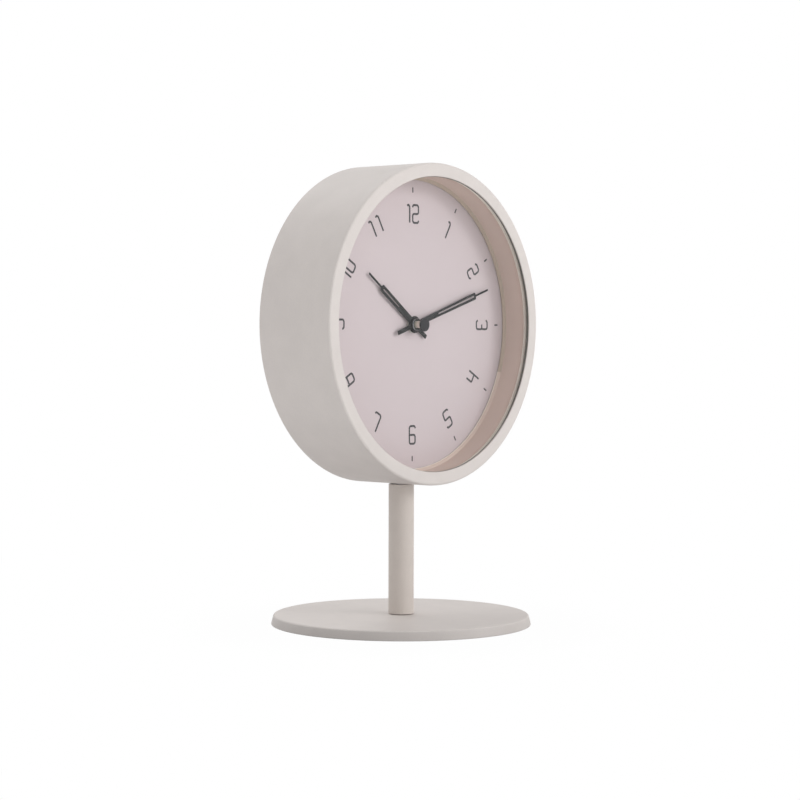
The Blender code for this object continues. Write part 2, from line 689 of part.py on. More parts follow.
def rear():
    """Clamps, rear cover and its screws."""
    bare = finish("Clamp steel", STEEL_COLOUR, 0.4, 1.0)
    dark = finish("Cover powder coat", CASE_COLOUR, 0.6)
    zinc = finish("Cover screw steel", STEEL_COLOUR, 0.3, 1.0)
    profile = disc_profile(STACK_RADIUS, -COVER_DEPTH, -COVER_DEPTH - COVER_THICKNESS)
    cover = turned("rear_cover", profile, dark, head_point(), TURNED_TO_FRONT, HIDDEN_STEPS)
    window = [square(MOVEMENT_HALF + WINDOW_MARGIN, WINDOW_ROUND)]
    cut_front = COVER_DEPTH - OVERRUN
    cut_thickness = COVER_THICKNESS + 2 * OVERRUN
    boolean(cover, flat("cover window", window, cut_front, cut_thickness, None), "DIFFERENCE")
    screw_place = COVER_DEPTH + COVER_THICKNESS + GAP
    sizes = (COVER_SCREW_RADIUS, COVER_SCREW_LENGTH, COVER_SCREW_HEAD, COVER_SCREW_HEAD_HEIGHT)
    socket = (COVER_SCREW_RADIUS, COVER_SCREW_HEAD_HEIGHT / 2)
    facing_rear = (-TURNED_TO_FRONT[0], 0.0, 0.0)
    for number, angle in enumerate(CLAMP_ANGLES, start=1):
        clamp(f"dial_clamp_{number}", angle, bare)
        x, z = COVER_SCREW_PLACE * math.sin(angle), COVER_SCREW_PLACE * math.cos(angle)
        span = (cut_front, cut_front + cut_thickness)
        hole = head_disc(f"cover hole {number}", COVER_SCREW_HOLE, *span, None, x, z, TINY_STEPS)
        boolean(cover, hole, "DIFFERENCE")
        place = head_point(x, z, screw_place)
        screw(f"cover_screw_{number}", zinc, place, facing_rear, *sizes, *socket)


def housings():
    """The movement's two housings, its shaft bush and what fixes it to the dial."""
    plastic = finish("Movement plastic", DARK_COLOUR, 0.5)
    brass = finish("Brass", BRASS_COLOUR, 0.3, 1.0)
    nut_steel = finish("Black nickel", DARK_COLOUR, 0.25, 1.0)
    rubber = finish("Washer rubber", DARK_COLOUR, 0.8)
    pivots = [
        circle(radius + RUNNING, TINY_STEPS, *place)
        for place, radius in zip(arbor_places()[1:], ARBOR_RADII[1:])
    ]
    outlines = [square(MOVEMENT_HALF, HOUSING_ROUND), circle(THREAD_CLEARANCE), *pivots]
    depth = HOUSING_SPLIT - MOVEMENT_FRONT
    front = flat("movement_front_housing", outlines, MOVEMENT_FRONT, depth, plastic)
    inner_round = HOUSING_ROUND - HOUSING_WALL
    cavity = [square(INNER_HALF, inner_round)]
    hollow = flat("front cavity", cavity, HOUSING_INNER_FRONT, depth, None)
    boolean(front, hollow, "DIFFERENCE")
    back_start = HOUSING_SPLIT + GAP
    back_depth = MOVEMENT_BACK - back_start
    outline = square(MOVEMENT_HALF, HOUSING_ROUND)
    back = flat("movement_rear_housing", [outline], back_start, back_depth, plastic)
    cavity_start = back_start - OVERRUN
    back_cavity = flat("rear cavity", cavity, cavity_start, REAR_PLATE_DEPTH - cavity_start, None)
    boolean(back, back_cavity, "DIFFERENCE")
    reach = BAY_HALF_WIDTH + BAY_WALL
    span = BAY_HALF_LENGTH + BAY_WALL
    bay_rows = (-CELL_DROP - reach, -CELL_DROP + reach)
    frame = box("bay frame", -span, span, BAY_FRONT, MOVEMENT_BACK - GAP, *bay_rows, None)
    boolean(back, frame, "UNION")
    open_rows = (-CELL_DROP - BAY_HALF_WIDTH, -CELL_DROP + BAY_HALF_WIDTH)
    open_depths = (BAY_FRONT - OVERRUN, MOVEMENT_BACK + OVERRUN)
    bay = box("bay opening", -BAY_HALF_LENGTH, BAY_HALF_LENGTH, *open_depths, *open_rows, None)
    boolean(back, bay, "DIFFERENCE")
    setting = polar(SETTING_ARBOR_REACH, SETTING_ANGLE)
    hole_radius = SETTING_ARBOR_RADIUS + RUNNING
    arbor_span = (REAR_PLATE_DEPTH - OVERRUN, MOVEMENT_BACK + OVERRUN)
    arbor_hole = head_disc("setting hole", hole_radius, *arbor_span, None, *setting, TINY_STEPS)
    boolean(back, arbor_hole, "DIFFERENCE")
    bush = [
        (BUSH_RADIUS, -BUSH_FRONT),
        (BUSH_RADIUS, -BUSH_FLANGE_DEPTH),
        (BUSH_FLANGE_RADIUS, -BUSH_FLANGE_DEPTH),
        (BUSH_FLANGE_RADIUS, -BUSH_FLANGE_DEPTH - BUSH_FLANGE_THICKNESS),
        (BUSH_BORE, -BUSH_FLANGE_DEPTH - BUSH_FLANGE_THICKNESS),
        (BUSH_BORE, -BUSH_FRONT),
    ]
    turned("shaft_bush", bush, brass, head_point(), TURNED_TO_FRONT, SMALL_STEPS, closed=True)
    nut_outline = [circle(NUT_RADIUS, SOCKET_SIDES), circle(THREAD_CLEARANCE)]
    flat("shaft_nut", nut_outline, NUT_DEPTH, NUT_THICKNESS, nut_steel)
    rubber_back = RUBBER_DEPTH + RUBBER_THICKNESS
    head_ring("rubber_washer", THREAD_CLEARANCE, RUBBER_RADIUS, RUBBER_DEPTH, rubber_back, rubber)


def motion_work():
    """Hour wheel, cannon pinion, minute wheel with the setting arbor, and the knob."""
    white = finish("White acetal", WHITE_COLOUR, 0.45)
    setting = polar(SETTING_ARBOR_REACH, SETTING_ANGLE)
    module = module_of(SETTING_ARBOR_REACH, CANNON_TEETH, MINUTE_WHEEL_TEETH)
    tube_front = HOUR_HAND_DEPTH
    hour_end = level(HOUR_WHEEL_SHARE) + WHEEL_THICKNESS
    hour_tube = ring_profile(HOUR_TUBE_BORE, HOUR_TUBE_RADIUS, -tube_front, -hour_end)
    hour = turned("hour_wheel", hour_tube, white, head_point(), TURNED_TO_FRONT, closed=True)
    toothed = (HOUR_WHEEL_TEETH, module, SETTING_ANGLE, HOUR_WHEEL_SHARE, WHEEL_THICKNESS)
    hour_gear = gear("hour gear", *toothed, (0.0, 0.0), None, HOUR_TUBE_BORE + MERGE)
    boolean(hour, hour_gear, "UNION")
    cannon_front = HAND_NUT_DEPTH
    cannon_tube = ring_profile(CANNON_BORE, CANNON_RADIUS, -cannon_front, -level(CANNON_END_SHARE))
    cannon = turned("cannon_pinion", cannon_tube, white, head_point(), TURNED_TO_FRONT, closed=True)
    toothed = (CANNON_TEETH, module, SETTING_ANGLE, CANNON_PINION_SHARE, PINION_THICKNESS)
    cannon_gear = gear("cannon gear", *toothed, (0.0, 0.0), None, CANNON_BORE + MERGE)
    boolean(cannon, cannon_gear, "UNION")
    arbor_sizes = (SETTING_ARBOR_RADIUS, PIVOT_START, KNOB_DEPTH + KNOB_THICKNESS)
    arbor = head_disc("minute_wheel", *arbor_sizes, white, *setting, TINY_STEPS)
    facing = SETTING_ANGLE + math.pi
    phase = meshing_phase(facing, MINUTE_PINION_TEETH)
    toothed = (MINUTE_PINION_TEETH, module, phase, MINUTE_PINION_SHARE, PINION_THICKNESS)
    boolean(arbor, gear("minute pinion", *toothed, setting, None), "UNION")
    phase = meshing_phase(facing, MINUTE_WHEEL_TEETH)
    toothed = (MINUTE_WHEEL_TEETH, module, phase, MINUTE_WHEEL_SHARE, WHEEL_THICKNESS)
    boolean(arbor, gear("minute gear", *toothed, setting, None), "UNION")
    knob_outline = []
    for flute in range(2 * KNOB_FLUTES):
        radius = KNOB_RADIUS if flute % 2 else KNOB_FLUTE_SHARE * KNOB_RADIUS
        knob_outline.append(polar(radius, math.pi * flute / KNOB_FLUTES))
    knob_hole = circle(SETTING_ARBOR_RADIUS + GAP, TINY_STEPS)
    flat("setting_knob", [knob_outline, knob_hole], KNOB_DEPTH, KNOB_THICKNESS, white, *setting)


def arbor_with(name, material, radius, span, place, gears):
    """An arbor with its gears joined to it. Each gear is teeth, module, phase, depth and thickness."""
    body = head_disc(name, radius, *span, material, *place, TINY_STEPS)
    for number, toothed in enumerate(gears):
        boolean(body, gear(f"{name} gear {number}", *toothed, place, None), "UNION")
    return body


def going_train():
    """Rotor, step wheel, seconds wheel, third wheel, centre wheel and their bridge."""
    white = finish("Train acetal", WHITE_COLOUR, 0.45)
    brass = finish("Bridge brass", BRASS_COLOUR, 0.35, 1.0)
    third, step, rotor = arbor_places()[1:4]
    fast = module_of(SLOW_ARBOR_REACH, SECONDS_PINION_TEETH, THIRD_WHEEL_TEETH)
    slow = module_of(SLOW_ARBOR_REACH, THIRD_PINION_TEETH, CENTRE_WHEEL_TEETH)
    stepped = module_of(FAST_ARBOR_REACH, STEP_PINION_TEETH, SECONDS_WHEEL_TEETH)
    driven = module_of(MAGNET_ARBOR_REACH, ROTOR_PINION_TEETH, STEP_WHEEL_TEETH)
    centre = (CENTRE_WHEEL_TEETH, slow, THIRD_ANGLE, CENTRE_WHEEL_SHARE, WHEEL_THICKNESS)
    gear("centre_wheel", *centre, (0.0, 0.0), white, CENTRE_WHEEL_BORE)
    seconds_gears = (
        (SECONDS_PINION_TEETH, fast, THIRD_ANGLE, SECONDS_PINION_SHARE, PINION_THICKNESS),
        (SECONDS_WHEEL_TEETH, stepped, STEP_ANGLE, SECONDS_WHEEL_SHARE, WHEEL_THICKNESS),
    )
    span = (SECONDS_CAP_DEPTH + SECONDS_CAP_THICKNESS / 2, PIVOT_END)
    arbor_with("seconds_wheel", white, SECONDS_ARBOR_RADIUS, span, (0.0, 0.0), seconds_gears)
    facing = THIRD_ANGLE + math.pi
    third_gears = (
        (
            THIRD_WHEEL_TEETH,
            fast,
            meshing_phase(facing, THIRD_WHEEL_TEETH),
            THIRD_WHEEL_SHARE,
            WHEEL_THICKNESS,
        ),
        (
            THIRD_PINION_TEETH,
            slow,
            meshing_phase(facing, THIRD_PINION_TEETH),
            THIRD_PINION_SHARE,
            PINION_THICKNESS,
        ),
    )
    span = (PIVOT_START, PIVOT_END)
    arbor_with("third_wheel", white, TRAIN_ARBOR_RADIUS, span, third, third_gears)
    facing = STEP_ANGLE + math.pi
    step_gears = (
        (
            STEP_PINION_TEETH,
            stepped,
            meshing_phase(facing, STEP_PINION_TEETH),
            STEP_PINION_SHARE,
            PINION_THICKNESS,
        ),
        (STEP_WHEEL_TEETH, driven, ROTOR_ANGLE, STEP_WHEEL_SHARE, WHEEL_THICKNESS),
    )
    arbor_with("step_wheel", white, TRAIN_ARBOR_RADIUS, span, step, step_gears)
    phase = meshing_phase(ROTOR_ANGLE + math.pi, ROTOR_PINION_TEETH)
    rotor_gears = (
        (ROTOR_PINION_TEETH, driven, phase, ROTOR_PINION_SHARE, PINION_THICKNESS),
    )
    body = arbor_with("rotor", white, TRAIN_ARBOR_RADIUS, span, rotor, rotor_gears)
    magnet_span = (level(MAGNET_SHARE), level(MAGNET_SHARE) + MAGNET_THICKNESS)
    boolean(body, head_disc("rotor magnet", MAGNET_RADIUS, *magnet_span, None, *rotor), "UNION")
    bridge(brass)


def bridge(material):
    """The rear bearing plate, with a hole for each pivot."""
    places = arbor_places()
    across = [place[0] for place in places]
    up = [place[1] for place in places]
    edges = (
        min(across) - BRIDGE_MARGIN,
        max(across) + BRIDGE_MARGIN,
        min(up) - BRIDGE_MARGIN,
        max(up) + BRIDGE_MARGIN,
    )
    holes = [
        circle(radius + RUNNING, TINY_STEPS, *place)
        for place, radius in zip(places, ARBOR_RADII)
    ]
    outline = rounded_rectangle(*edges, BRIDGE_MARGIN / 2)
    flat("train_bridge", [outline, *holes], level(BRIDGE_SHARE), BRIDGE_THICKNESS, material)


def electrics():
    """Stator, coil, circuit board with its parts, contacts and cell."""
    iron = finish("Stator iron", STEEL_COLOUR, 0.4, 1.0)
    nylon = finish("Bobbin nylon", WHITE_COLOUR, 0.5)
    copper = finish("Copper wire", COPPER_COLOUR, 0.35, 1.0)
    board_paint = finish("Circuit board", BOARD_COLOUR, 0.5)
    tin = finish("Tin", STEEL_COLOUR, 0.3, 1.0)
    resin = finish("Chip resin", DARK_COLOUR, 0.4)
    wrap = finish("Cell wrap", CELL_COLOUR, 0.35)
    rotor = arbor_places()[3]
    outline = [
        (STATOR_LEFT, STATOR_YOKE_BOTTOM),
        (STATOR_NECK_X, STATOR_YOKE_BOTTOM),
        (STATOR_NECK_X, STATOR_POLE_BOTTOM),
        (STATOR_RIGHT, STATOR_POLE_BOTTOM),
        (STATOR_RIGHT, STATOR_TOP),
        (STATOR_RIGHT - STATOR_LEG, STATOR_TOP),
        (STATOR_RIGHT - STATOR_LEG, STATOR_YOKE_TOP),
        (STATOR_LEFT + STATOR_LEG, STATOR_YOKE_TOP),
        (STATOR_LEFT + STATOR_LEG, STATOR_TOP),
        (STATOR_LEFT, STATOR_TOP),
    ]
    hole = circle(STATOR_HOLE, SMALL_STEPS, *rotor)
    stator_depth = level(STATOR_SHARE)
    flat("stator", [outline, hole], stator_depth, STATOR_THICKNESS, iron)
    bobbin_profile = [
        (COIL_FLANGE_RADIUS, COIL_END),
        (COIL_FLANGE_RADIUS, COIL_END - COIL_FLANGE),
        (COIL_CORE, COIL_END - COIL_FLANGE),
        (COIL_CORE, COIL_START + COIL_FLANGE),
        (COIL_FLANGE_RADIUS, COIL_START + COIL_FLANGE),
        (COIL_FLANGE_RADIUS, COIL_START),
    ]
    profile = [(0.0, COIL_END), *bobbin_profile, (0.0, COIL_START)]
    across = (0.0, math.radians(90), 0.0)
    coil_place = head_point(0.0, COIL_HEIGHT, level(COIL_SHARE))
    turned("coil_bobbin", profile, nylon, coil_place, across, SMALL_STEPS)
    winding_span = (COIL_END - COIL_FLANGE - GAP, COIL_START + COIL_FLANGE + GAP)
    winding = ring_profile(COIL_CORE + GAP, COIL_RADIUS, *winding_span)
    turned("coil_winding", winding, copper, coil_place, across, SMALL_STEPS, closed=True)
    board_front = stator_depth + STATOR_THICKNESS + GAP
    board_back = board_front + BOARD_THICKNESS
    edges = (BOARD_LEFT, BOARD_RIGHT, board_front, board_back, BOARD_BOTTOM, BOARD_TOP)
    box("circuit_board", *edges, board_paint)
    middle = (BOARD_LEFT + BOARD_RIGHT) / 2
    crystal_depth = board_back + GAP + CRYSTAL_RADIUS
    crystal = (middle - CRYSTAL_LENGTH / 2, middle + CRYSTAL_LENGTH / 2, -CRYSTAL_DROP)
    rod_across("quartz_crystal", CRYSTAL_RADIUS, *crystal, crystal_depth, tin, TINY_STEPS)
    half = CHIP_SIDE / 2
    chip_depths = (board_back + GAP, board_back + GAP + CHIP_HEIGHT)
    chip_rows = (CHIP_RISE - half, CHIP_RISE + half)
    box("driver_chip", middle - half, middle + half, *chip_depths, *chip_rows, resin)
    battery(tin, wrap)


def battery(tin, wrap):
    """The cell and the two bent contacts beside it."""
    end = CELL_LENGTH / 2
    centre = (CELL_RADIUS - CELL_EDGE_ROUND, end - CELL_EDGE_ROUND)
    profile = [
        (0.0, end + CELL_NUB_LENGTH),
        (CELL_NUB_RADIUS, end + CELL_NUB_LENGTH),
        (CELL_NUB_RADIUS, end),
        *arc(centre, CELL_EDGE_ROUND, 90, 0),
        *arc((centre[0], -centre[1]), CELL_EDGE_ROUND, 0, -90),
        (0.0, -end),
    ]
    across = (0.0, math.radians(90), 0.0)
    place = head_point(-CELL_NUB_LENGTH / 2, -CELL_DROP, CELL_DEPTH)
    turned("battery_cell", profile, wrap, place, across, SMALL_STEPS)
    outer = BAY_HALF_LENGTH - CONTACT_SHIFT
    inner = outer - CONTACT_THICKNESS
    front, back = CELL_DEPTH - CONTACT_WIDTH / 2, CELL_DEPTH + CONTACT_WIDTH / 2
    rows = (-CELL_DROP - CONTACT_HEIGHT / 2, -CELL_DROP + CONTACT_HEIGHT / 2)
    box("contact_positive", inner, outer, front, back, *rows, tin)
    box("contact_negative", -outer, -inner, front, back, *rows, tin)


def hand_outline(length, needle_start, half_widths, hub, tail):
    """A hand pointing up: tail, round hub, wide body and a fine needle."""
    narrow, wide = half_widths
    tail_spread = math.degrees(math.asin(TAIL_HALF_WIDTH / hub))
    body_spread = math.degrees(math.asin(narrow / hub))
    right = arc((0.0, 0.0), hub, -90 + tail_spread, 90 - body_spread, 6)
    left = arc((0.0, 0.0), hub, 90 + body_spread, 270 - tail_spread, 6)
    return [
        (-TAIL_HALF_WIDTH, -tail),
        (TAIL_HALF_WIDTH, -tail),
        *right,
        (wide, needle_start - SHOULDER_LENGTH),
        (NEEDLE_HALF_WIDTH, needle_start),
        (NEEDLE_HALF_WIDTH, length),
        (-NEEDLE_HALF_WIDTH, length),
        (-NEEDLE_HALF_WIDTH, needle_start),
        (-wide, needle_start - SHOULDER_LENGTH),
        *left,
    ]


def hand(name, outline, slot, bore, depth, angle, material):
    """A flat slotted hand at its place on the axis."""
    start, end = slot
    narrow, wide = SLOT_HALF_WIDTHS
    opening = [(-narrow, start), (narrow, start), (wide, end), (-wide, end)]
    return flat(name, [outline, opening, circle(bore)], depth, HAND_THICKNESS, material, spin=angle)


def hands():
    """Hour hand, minute hand, its nut, and the seconds tube with its cap."""
    black = finish("Hand paint", HAND_COLOUR, 0.4)
    nickel = finish("Hand nut", DARK_COLOUR, 0.2, 1.0)
    cream = finish("Seconds tube acetal", WHITE_COLOUR, 0.4)
    cap_paint = finish("Cap paint", HAND_COLOUR, 0.35)
    hour = (HOUR_HAND_LENGTH, HOUR_NEEDLE_START, HOUR_HALF_WIDTHS, HOUR_HUB_RADIUS, HOUR_TAIL)
    place = (HOUR_TUBE_RADIUS + GAP, HOUR_HAND_DEPTH, HOUR_ANGLE)
    hand("hour_hand", hand_outline(*hour), HOUR_SLOT, *place, black)
    minute = (MINUTE_HAND_LENGTH, MINUTE_NEEDLE_START, MINUTE_HALF_WIDTHS, MINUTE_HUB_RADIUS, MINUTE_TAIL)
    bore = CANNON_RADIUS + GAP
    place = (bore, MINUTE_HAND_DEPTH, MINUTE_ANGLE)
    hand("minute_hand", hand_outline(*minute), MINUTE_SLOT, *place, black)
    nut_back = HAND_NUT_DEPTH + HAND_NUT_THICKNESS
    head_ring("minute_hand_nut", bore, HAND_NUT_RADIUS, HAND_NUT_DEPTH, nut_back, nickel)
    tube_bore = SECONDS_ARBOR_RADIUS + GAP
    tube = (tube_bore, SECONDS_TUBE_RADIUS, SECONDS_TUBE_FRONT, SECONDS_TUBE_BACK)
    head_ring("seconds_tube", *tube, cream)
    cap_back = SECONDS_CAP_DEPTH + SECONDS_CAP_THICKNESS
    cap_inner = SECONDS_CAP_DEPTH + SECONDS_CAP_THICKNESS / 2 - GAP
    profile = [
        (0.0, -SECONDS_CAP_DEPTH),
        (SECONDS_CAP_RADIUS, -SECONDS_CAP_DEPTH),
        (SECONDS_CAP_RADIUS, -cap_back),
        (tube_bore, -cap_back),
        (tube_bore, -cap_inner),
        (0.0, -cap_inner),
    ]
    turned("seconds_cap", profile, cap_paint, head_point(), TURNED_TO_FRONT, SMALL_STEPS)


for old in list(bpy.data.objects):
    bpy.data.objects.remove(old)
PARTS = collection("Table clock")
CUTTERS = collection("Cutters")
stand()
case()
rear()
housings()
motion_work()
going_train()
electrics()
hands()
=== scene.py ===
"""Looks of the table clock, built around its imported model.

Metres, +Z up. The dial faces -Y and +X is to the viewer's right. A depth is measured from the front plane of
the case towards the rear, and a radius from the axis of the hands.
"""

import logging
import math
from dataclasses import dataclass, field
from enum import Enum
from typing import Iterable, Optional, Sequence

import bmesh
import bpy
from mathutils import Matrix, Vector


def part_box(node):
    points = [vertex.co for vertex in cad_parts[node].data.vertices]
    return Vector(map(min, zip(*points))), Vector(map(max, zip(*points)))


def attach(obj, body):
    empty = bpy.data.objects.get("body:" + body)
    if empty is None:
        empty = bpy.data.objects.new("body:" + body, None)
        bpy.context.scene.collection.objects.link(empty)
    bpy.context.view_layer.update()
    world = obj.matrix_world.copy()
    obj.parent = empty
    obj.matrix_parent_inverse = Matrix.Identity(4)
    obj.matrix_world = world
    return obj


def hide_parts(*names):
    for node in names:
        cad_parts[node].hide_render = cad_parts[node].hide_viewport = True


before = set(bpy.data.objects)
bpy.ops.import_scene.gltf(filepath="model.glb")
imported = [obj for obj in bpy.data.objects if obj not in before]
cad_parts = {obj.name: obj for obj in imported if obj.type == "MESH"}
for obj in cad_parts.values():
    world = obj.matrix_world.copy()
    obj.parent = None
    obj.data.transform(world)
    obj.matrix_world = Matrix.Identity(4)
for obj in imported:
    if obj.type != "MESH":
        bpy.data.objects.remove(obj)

Colour = tuple[float, float, float, float]
Corner = tuple[float, float, float]
Material = bpy.types.Material
Piece = bpy.types.Object
Point = tuple[float, float]
Shape = bmesh.types.BMesh
Socket = bpy.types.NodeSocket
Span = tuple[float, float]

LOG = logging.getLogger("table clock")
MM = 0.001
WHITE: Colour = (1.0, 1.0, 1.0, 1.0)
ORIGIN = Vector((0.0, 0.0, 0.0))
# The body of everything that stands still
STILL = "clock_frame"
SHARP_ANGLE = math.radians(35)
# Points closer than this are welded
WELD = 0.001 * MM
# Slack where faces are chosen by their place
SLACK = 0.1 * MM
# How far edges are rounded, from a freshly cut one to a moulded one
KEEN, CRISP, FINE, SOFT, EASED = 0.02 * MM, 0.05 * MM, 0.1 * MM, 0.2 * MM, 0.3 * MM


class Turning(Enum):
    """Which way the axis of a turned piece runs, as its turn from straight up."""

    UP = (0, "X")
    REARWARD = (-90, "X")
    ACROSS = (90, "Y")

    @property
    def matrix(self) -> Matrix:
        """The turn as a transform."""
        degrees, axis = self.value
        return Matrix.Rotation(math.radians(degrees), 4, axis)


class Steps(Enum):
    """How many facets a turned piece gets round its axis."""

    LARGE = 256
    MEDIUM = 96
    SMALL = 48


# Nodes and finishes


def linear(code: str, factor: float = 1.0) -> Colour:
    """Turns an sRGB hex colour to linear light.

    Args:
        code: Six hex digits.
        factor: How much lighter or darker it gets.

    Returns:
        Red, green, blue and an alpha of 1.
    """
    shares = [int(code[start:start + 2], 16) / 255 for start in (0, 2, 4)]
    light = [share / 12.92 if share <= 0.04045 else ((share + 0.055) / 1.055) ** 2.4 for share in shares]
    return (*[min(1.0, channel * factor) for channel in light], 1.0)


@dataclass
class Graph:
    """A node tree, and the kinds of node that the finishes and the studio share."""

    tree: bpy.types.NodeTree

    def feed(self, node: bpy.types.Node, inputs: dict) -> None:
        """Fills a node's inputs.

        Args:
            node: The node.
            inputs: Values or output sockets by the name or number of the input they go to.
        """
        for name, value in inputs.items():
            if isinstance(value, Socket):
                self.tree.links.new(value, node.inputs[name])
            else:
                node.inputs[name].default_value = value

    def add(self, kind: str, inputs: Optional[dict] = None, **settings: str) -> bpy.types.Node:
        """Adds a node.

        Args:
            kind: The node's type name, without its first words.
            inputs: What goes into its inputs.
            settings: Its properties by name.

        Returns:
            The new node.
        """
        node = self.tree.nodes.new(f"ShaderNode{kind}")
        for name, value in settings.items():
            setattr(node, name, value)
        self.feed(node, inputs or {})
        return node

    def place(self) -> Socket:
        """Object coordinates."""
        return self.add("TexCoord").outputs["Object"]

    def noise(self, place: Socket, size: float, detail: float = 2.0) -> Socket:
        """Noise at a place, with grains of about a size in metres."""
        return self.add("TexNoise", {"Vector": place, "Scale": 1.0 / size, "Detail": detail}).outputs["Fac"]

    def ranged(self, value: Socket, old: Span, new: Span = (0.0, 1.0), how: str = "LINEAR") -> Socket:
        """Moves a value from one range to another.

        Args:
            value: The value.
            old: The range it comes from.
            new: The range it goes to.
            how: The kind of interpolation.

        Returns:
            The moved value.
        """
        ends = zip(("From Min", "From Max", "To Min", "To Max"), (*old, *new))
        return self.add("MapRange", {"Value": value, **dict(ends)}, interpolation_type=how).outputs["Result"]

    def joined(self, how: str, first: Socket, second: Socket) -> Socket:
        """The sum, product or greater one of two values."""
        return self.add("Math", {0: first, 1: second}, operation=how).outputs[0]

    def blend(self, share: Socket, first: Colour, second: Colour) -> Socket:
        """A colour between two others."""
        return self.add("Mix", {0: share, 6: first, 7: second}, data_type="RGBA").outputs[2]

    def bump(self, height: Socket, relief: float) -> Socket:
        """A normal for a relief in metres."""
        return self.add("Bump", {"Height": height, "Distance": relief}).outputs["Normal"]

    def seen(self) -> Socket:
        """One where a ray shows the background: to the eye, in gloss and through glass."""
        rays = self.add("LightPath").outputs
        first = self.joined("MAXIMUM", rays["Is Camera Ray"], rays["Is Glossy Ray"])
        return self.joined("MAXIMUM", first, rays["Is Transmission Ray"])

    def close(self, output: str, share: Socket, first: bpy.types.Node, second: bpy.types.Node) -> None:
        """Mixes two shaders and ends the tree with them.

        Args:
            output: The kind of the output node.
            share: How much the second one counts.
            first: The first shader.
            second: The second shader.
        """
        mixed = self.add("MixShader", {0: share, 1: first.outputs[0], 2: second.outputs[0]})
        self.add(output, {"Surface": mixed.outputs[0]})


@dataclass(frozen=True)
class Surface:
    """A material with one main shader."""

    name: str

    def make(self) -> Material:
        """Builds the node material.

        Returns:
            The material.
        """
        made = bpy.data.materials.new(self.name)
        made.use_nodes = True
        graph = Graph(made.node_tree)
        graph.feed(made.node_tree.nodes["Principled BSDF"], self.inputs(graph))
        return made

    def inputs(self, graph: Graph) -> dict:
        """What each kind of surface puts into the shader's inputs."""
        raise NotImplementedError


@dataclass(frozen=True)
class Finish(Surface):
    """A painted, moulded or metal surface with a grain in its colour, roughness and relief.

    The grain is a noise on Object coordinates. Its size is the real one, and the relief is how high it stands.
    The mottle is a second, wider noise that varies the colour a little, as real batches of paint do. All three
    are in millimetres.
    """

    colour: str
    roughness: float
    grain: float
    relief: float
    shade: float = 0.03
    metallic: float = 0.0
    ior: float = 1.5
    mottle: float = 12.0
    roughness_spread: float = 0.05
    coat: float = 0.0
    stretch: tuple[float, float, float] = (1.0, 1.0, 1.0)
    specular: float = 0.5
    # Where most values of one noise lie, and of two noises added up
    one_noise: Span = (0.3, 0.7)
    two_noises: Span = (0.7, 1.3)

    def inputs(self, graph: Graph) -> dict:
        """Grain, mottle and what the fields say."""
        place = graph.place()
        drawn = graph.add("Mapping", {"Vector": place, "Scale": self.stretch}).outputs["Vector"]
        fine = graph.noise(drawn, self.grain * MM, detail=3.0)
        both = graph.joined("ADD", fine, graph.noise(place, self.mottle * MM))
        share = graph.ranged(both, self.two_noises)
        spread = self.roughness_spread
        rough = graph.ranged(fine, self.one_noise, (self.roughness - spread, self.roughness + spread))
        dark, light = linear(self.colour, 1 - self.shade), linear(self.colour, 1 + self.shade)
        return {
            "Base Color": graph.blend(share, dark, light),
            "Metallic": self.metallic,
            "Roughness": rough,
            "IOR": self.ior,
            "Coat Weight": self.coat,
            "Specular IOR Level": self.specular,
            "Normal": graph.bump(fine, self.relief * MM),
        }


@dataclass(frozen=True)
class Metal(Finish):
    """Bare or plated metal."""

    metallic: float = 1.0


@dataclass(frozen=True)
class ClearGlass(Surface):
    """Float glass with an anti-reflective coat, which takes away most of its mirror image."""

    name: str = "Float glass"
    tint: str = "FAFBFA"
    ior: float = 1.5
    smear: float = 30 * MM
    mirror: float = 0.05

    def inputs(self, graph: Graph) -> dict:
        """Clear, with a faint smear in its roughness."""
        smear = graph.noise(graph.place(), self.smear)
        return {
            "Base Color": linear(self.tint),
            "Roughness": graph.ranged(smear, (0.5, 0.8), (0.0, 0.02)),
            "IOR": self.ior,
            "Transmission Weight": 1.0,
            "Specular Tint": (self.mirror, self.mirror, self.mirror, 1.0),
        }


@dataclass(frozen=True)
class WoundWire(Surface):
    """Enamelled copper wire in turns side by side along X."""

    name: str = "Enamelled copper wire"
    colour: str = "B8673A"
    roughness: float = 0.3
    wire: float = 0.12 * MM
    # The width of one band of the wave at scale 1
    band: float = 0.314

    def inputs(self, graph: Graph) -> dict:
        """Metal with painted shade in the grooves between the turns of wire, and relief for each turn."""
        wave = {"Vector": graph.place(), "Scale": self.band / self.wire, "Distortion": 0.4, "Detail": 1.0}
        turns = graph.add("TexWave", wave, wave_type="BANDS", bands_direction="X").outputs["Fac"]
        return {
            # Half as bright between the turns: painted shade in the grooves
            "Base Color": graph.blend(turns, linear(self.colour, 0.5), linear(self.colour)),
            "Metallic": 1.0,
            "Roughness": self.roughness,
            "Normal": graph.bump(turns, self.wire / 3),
        }


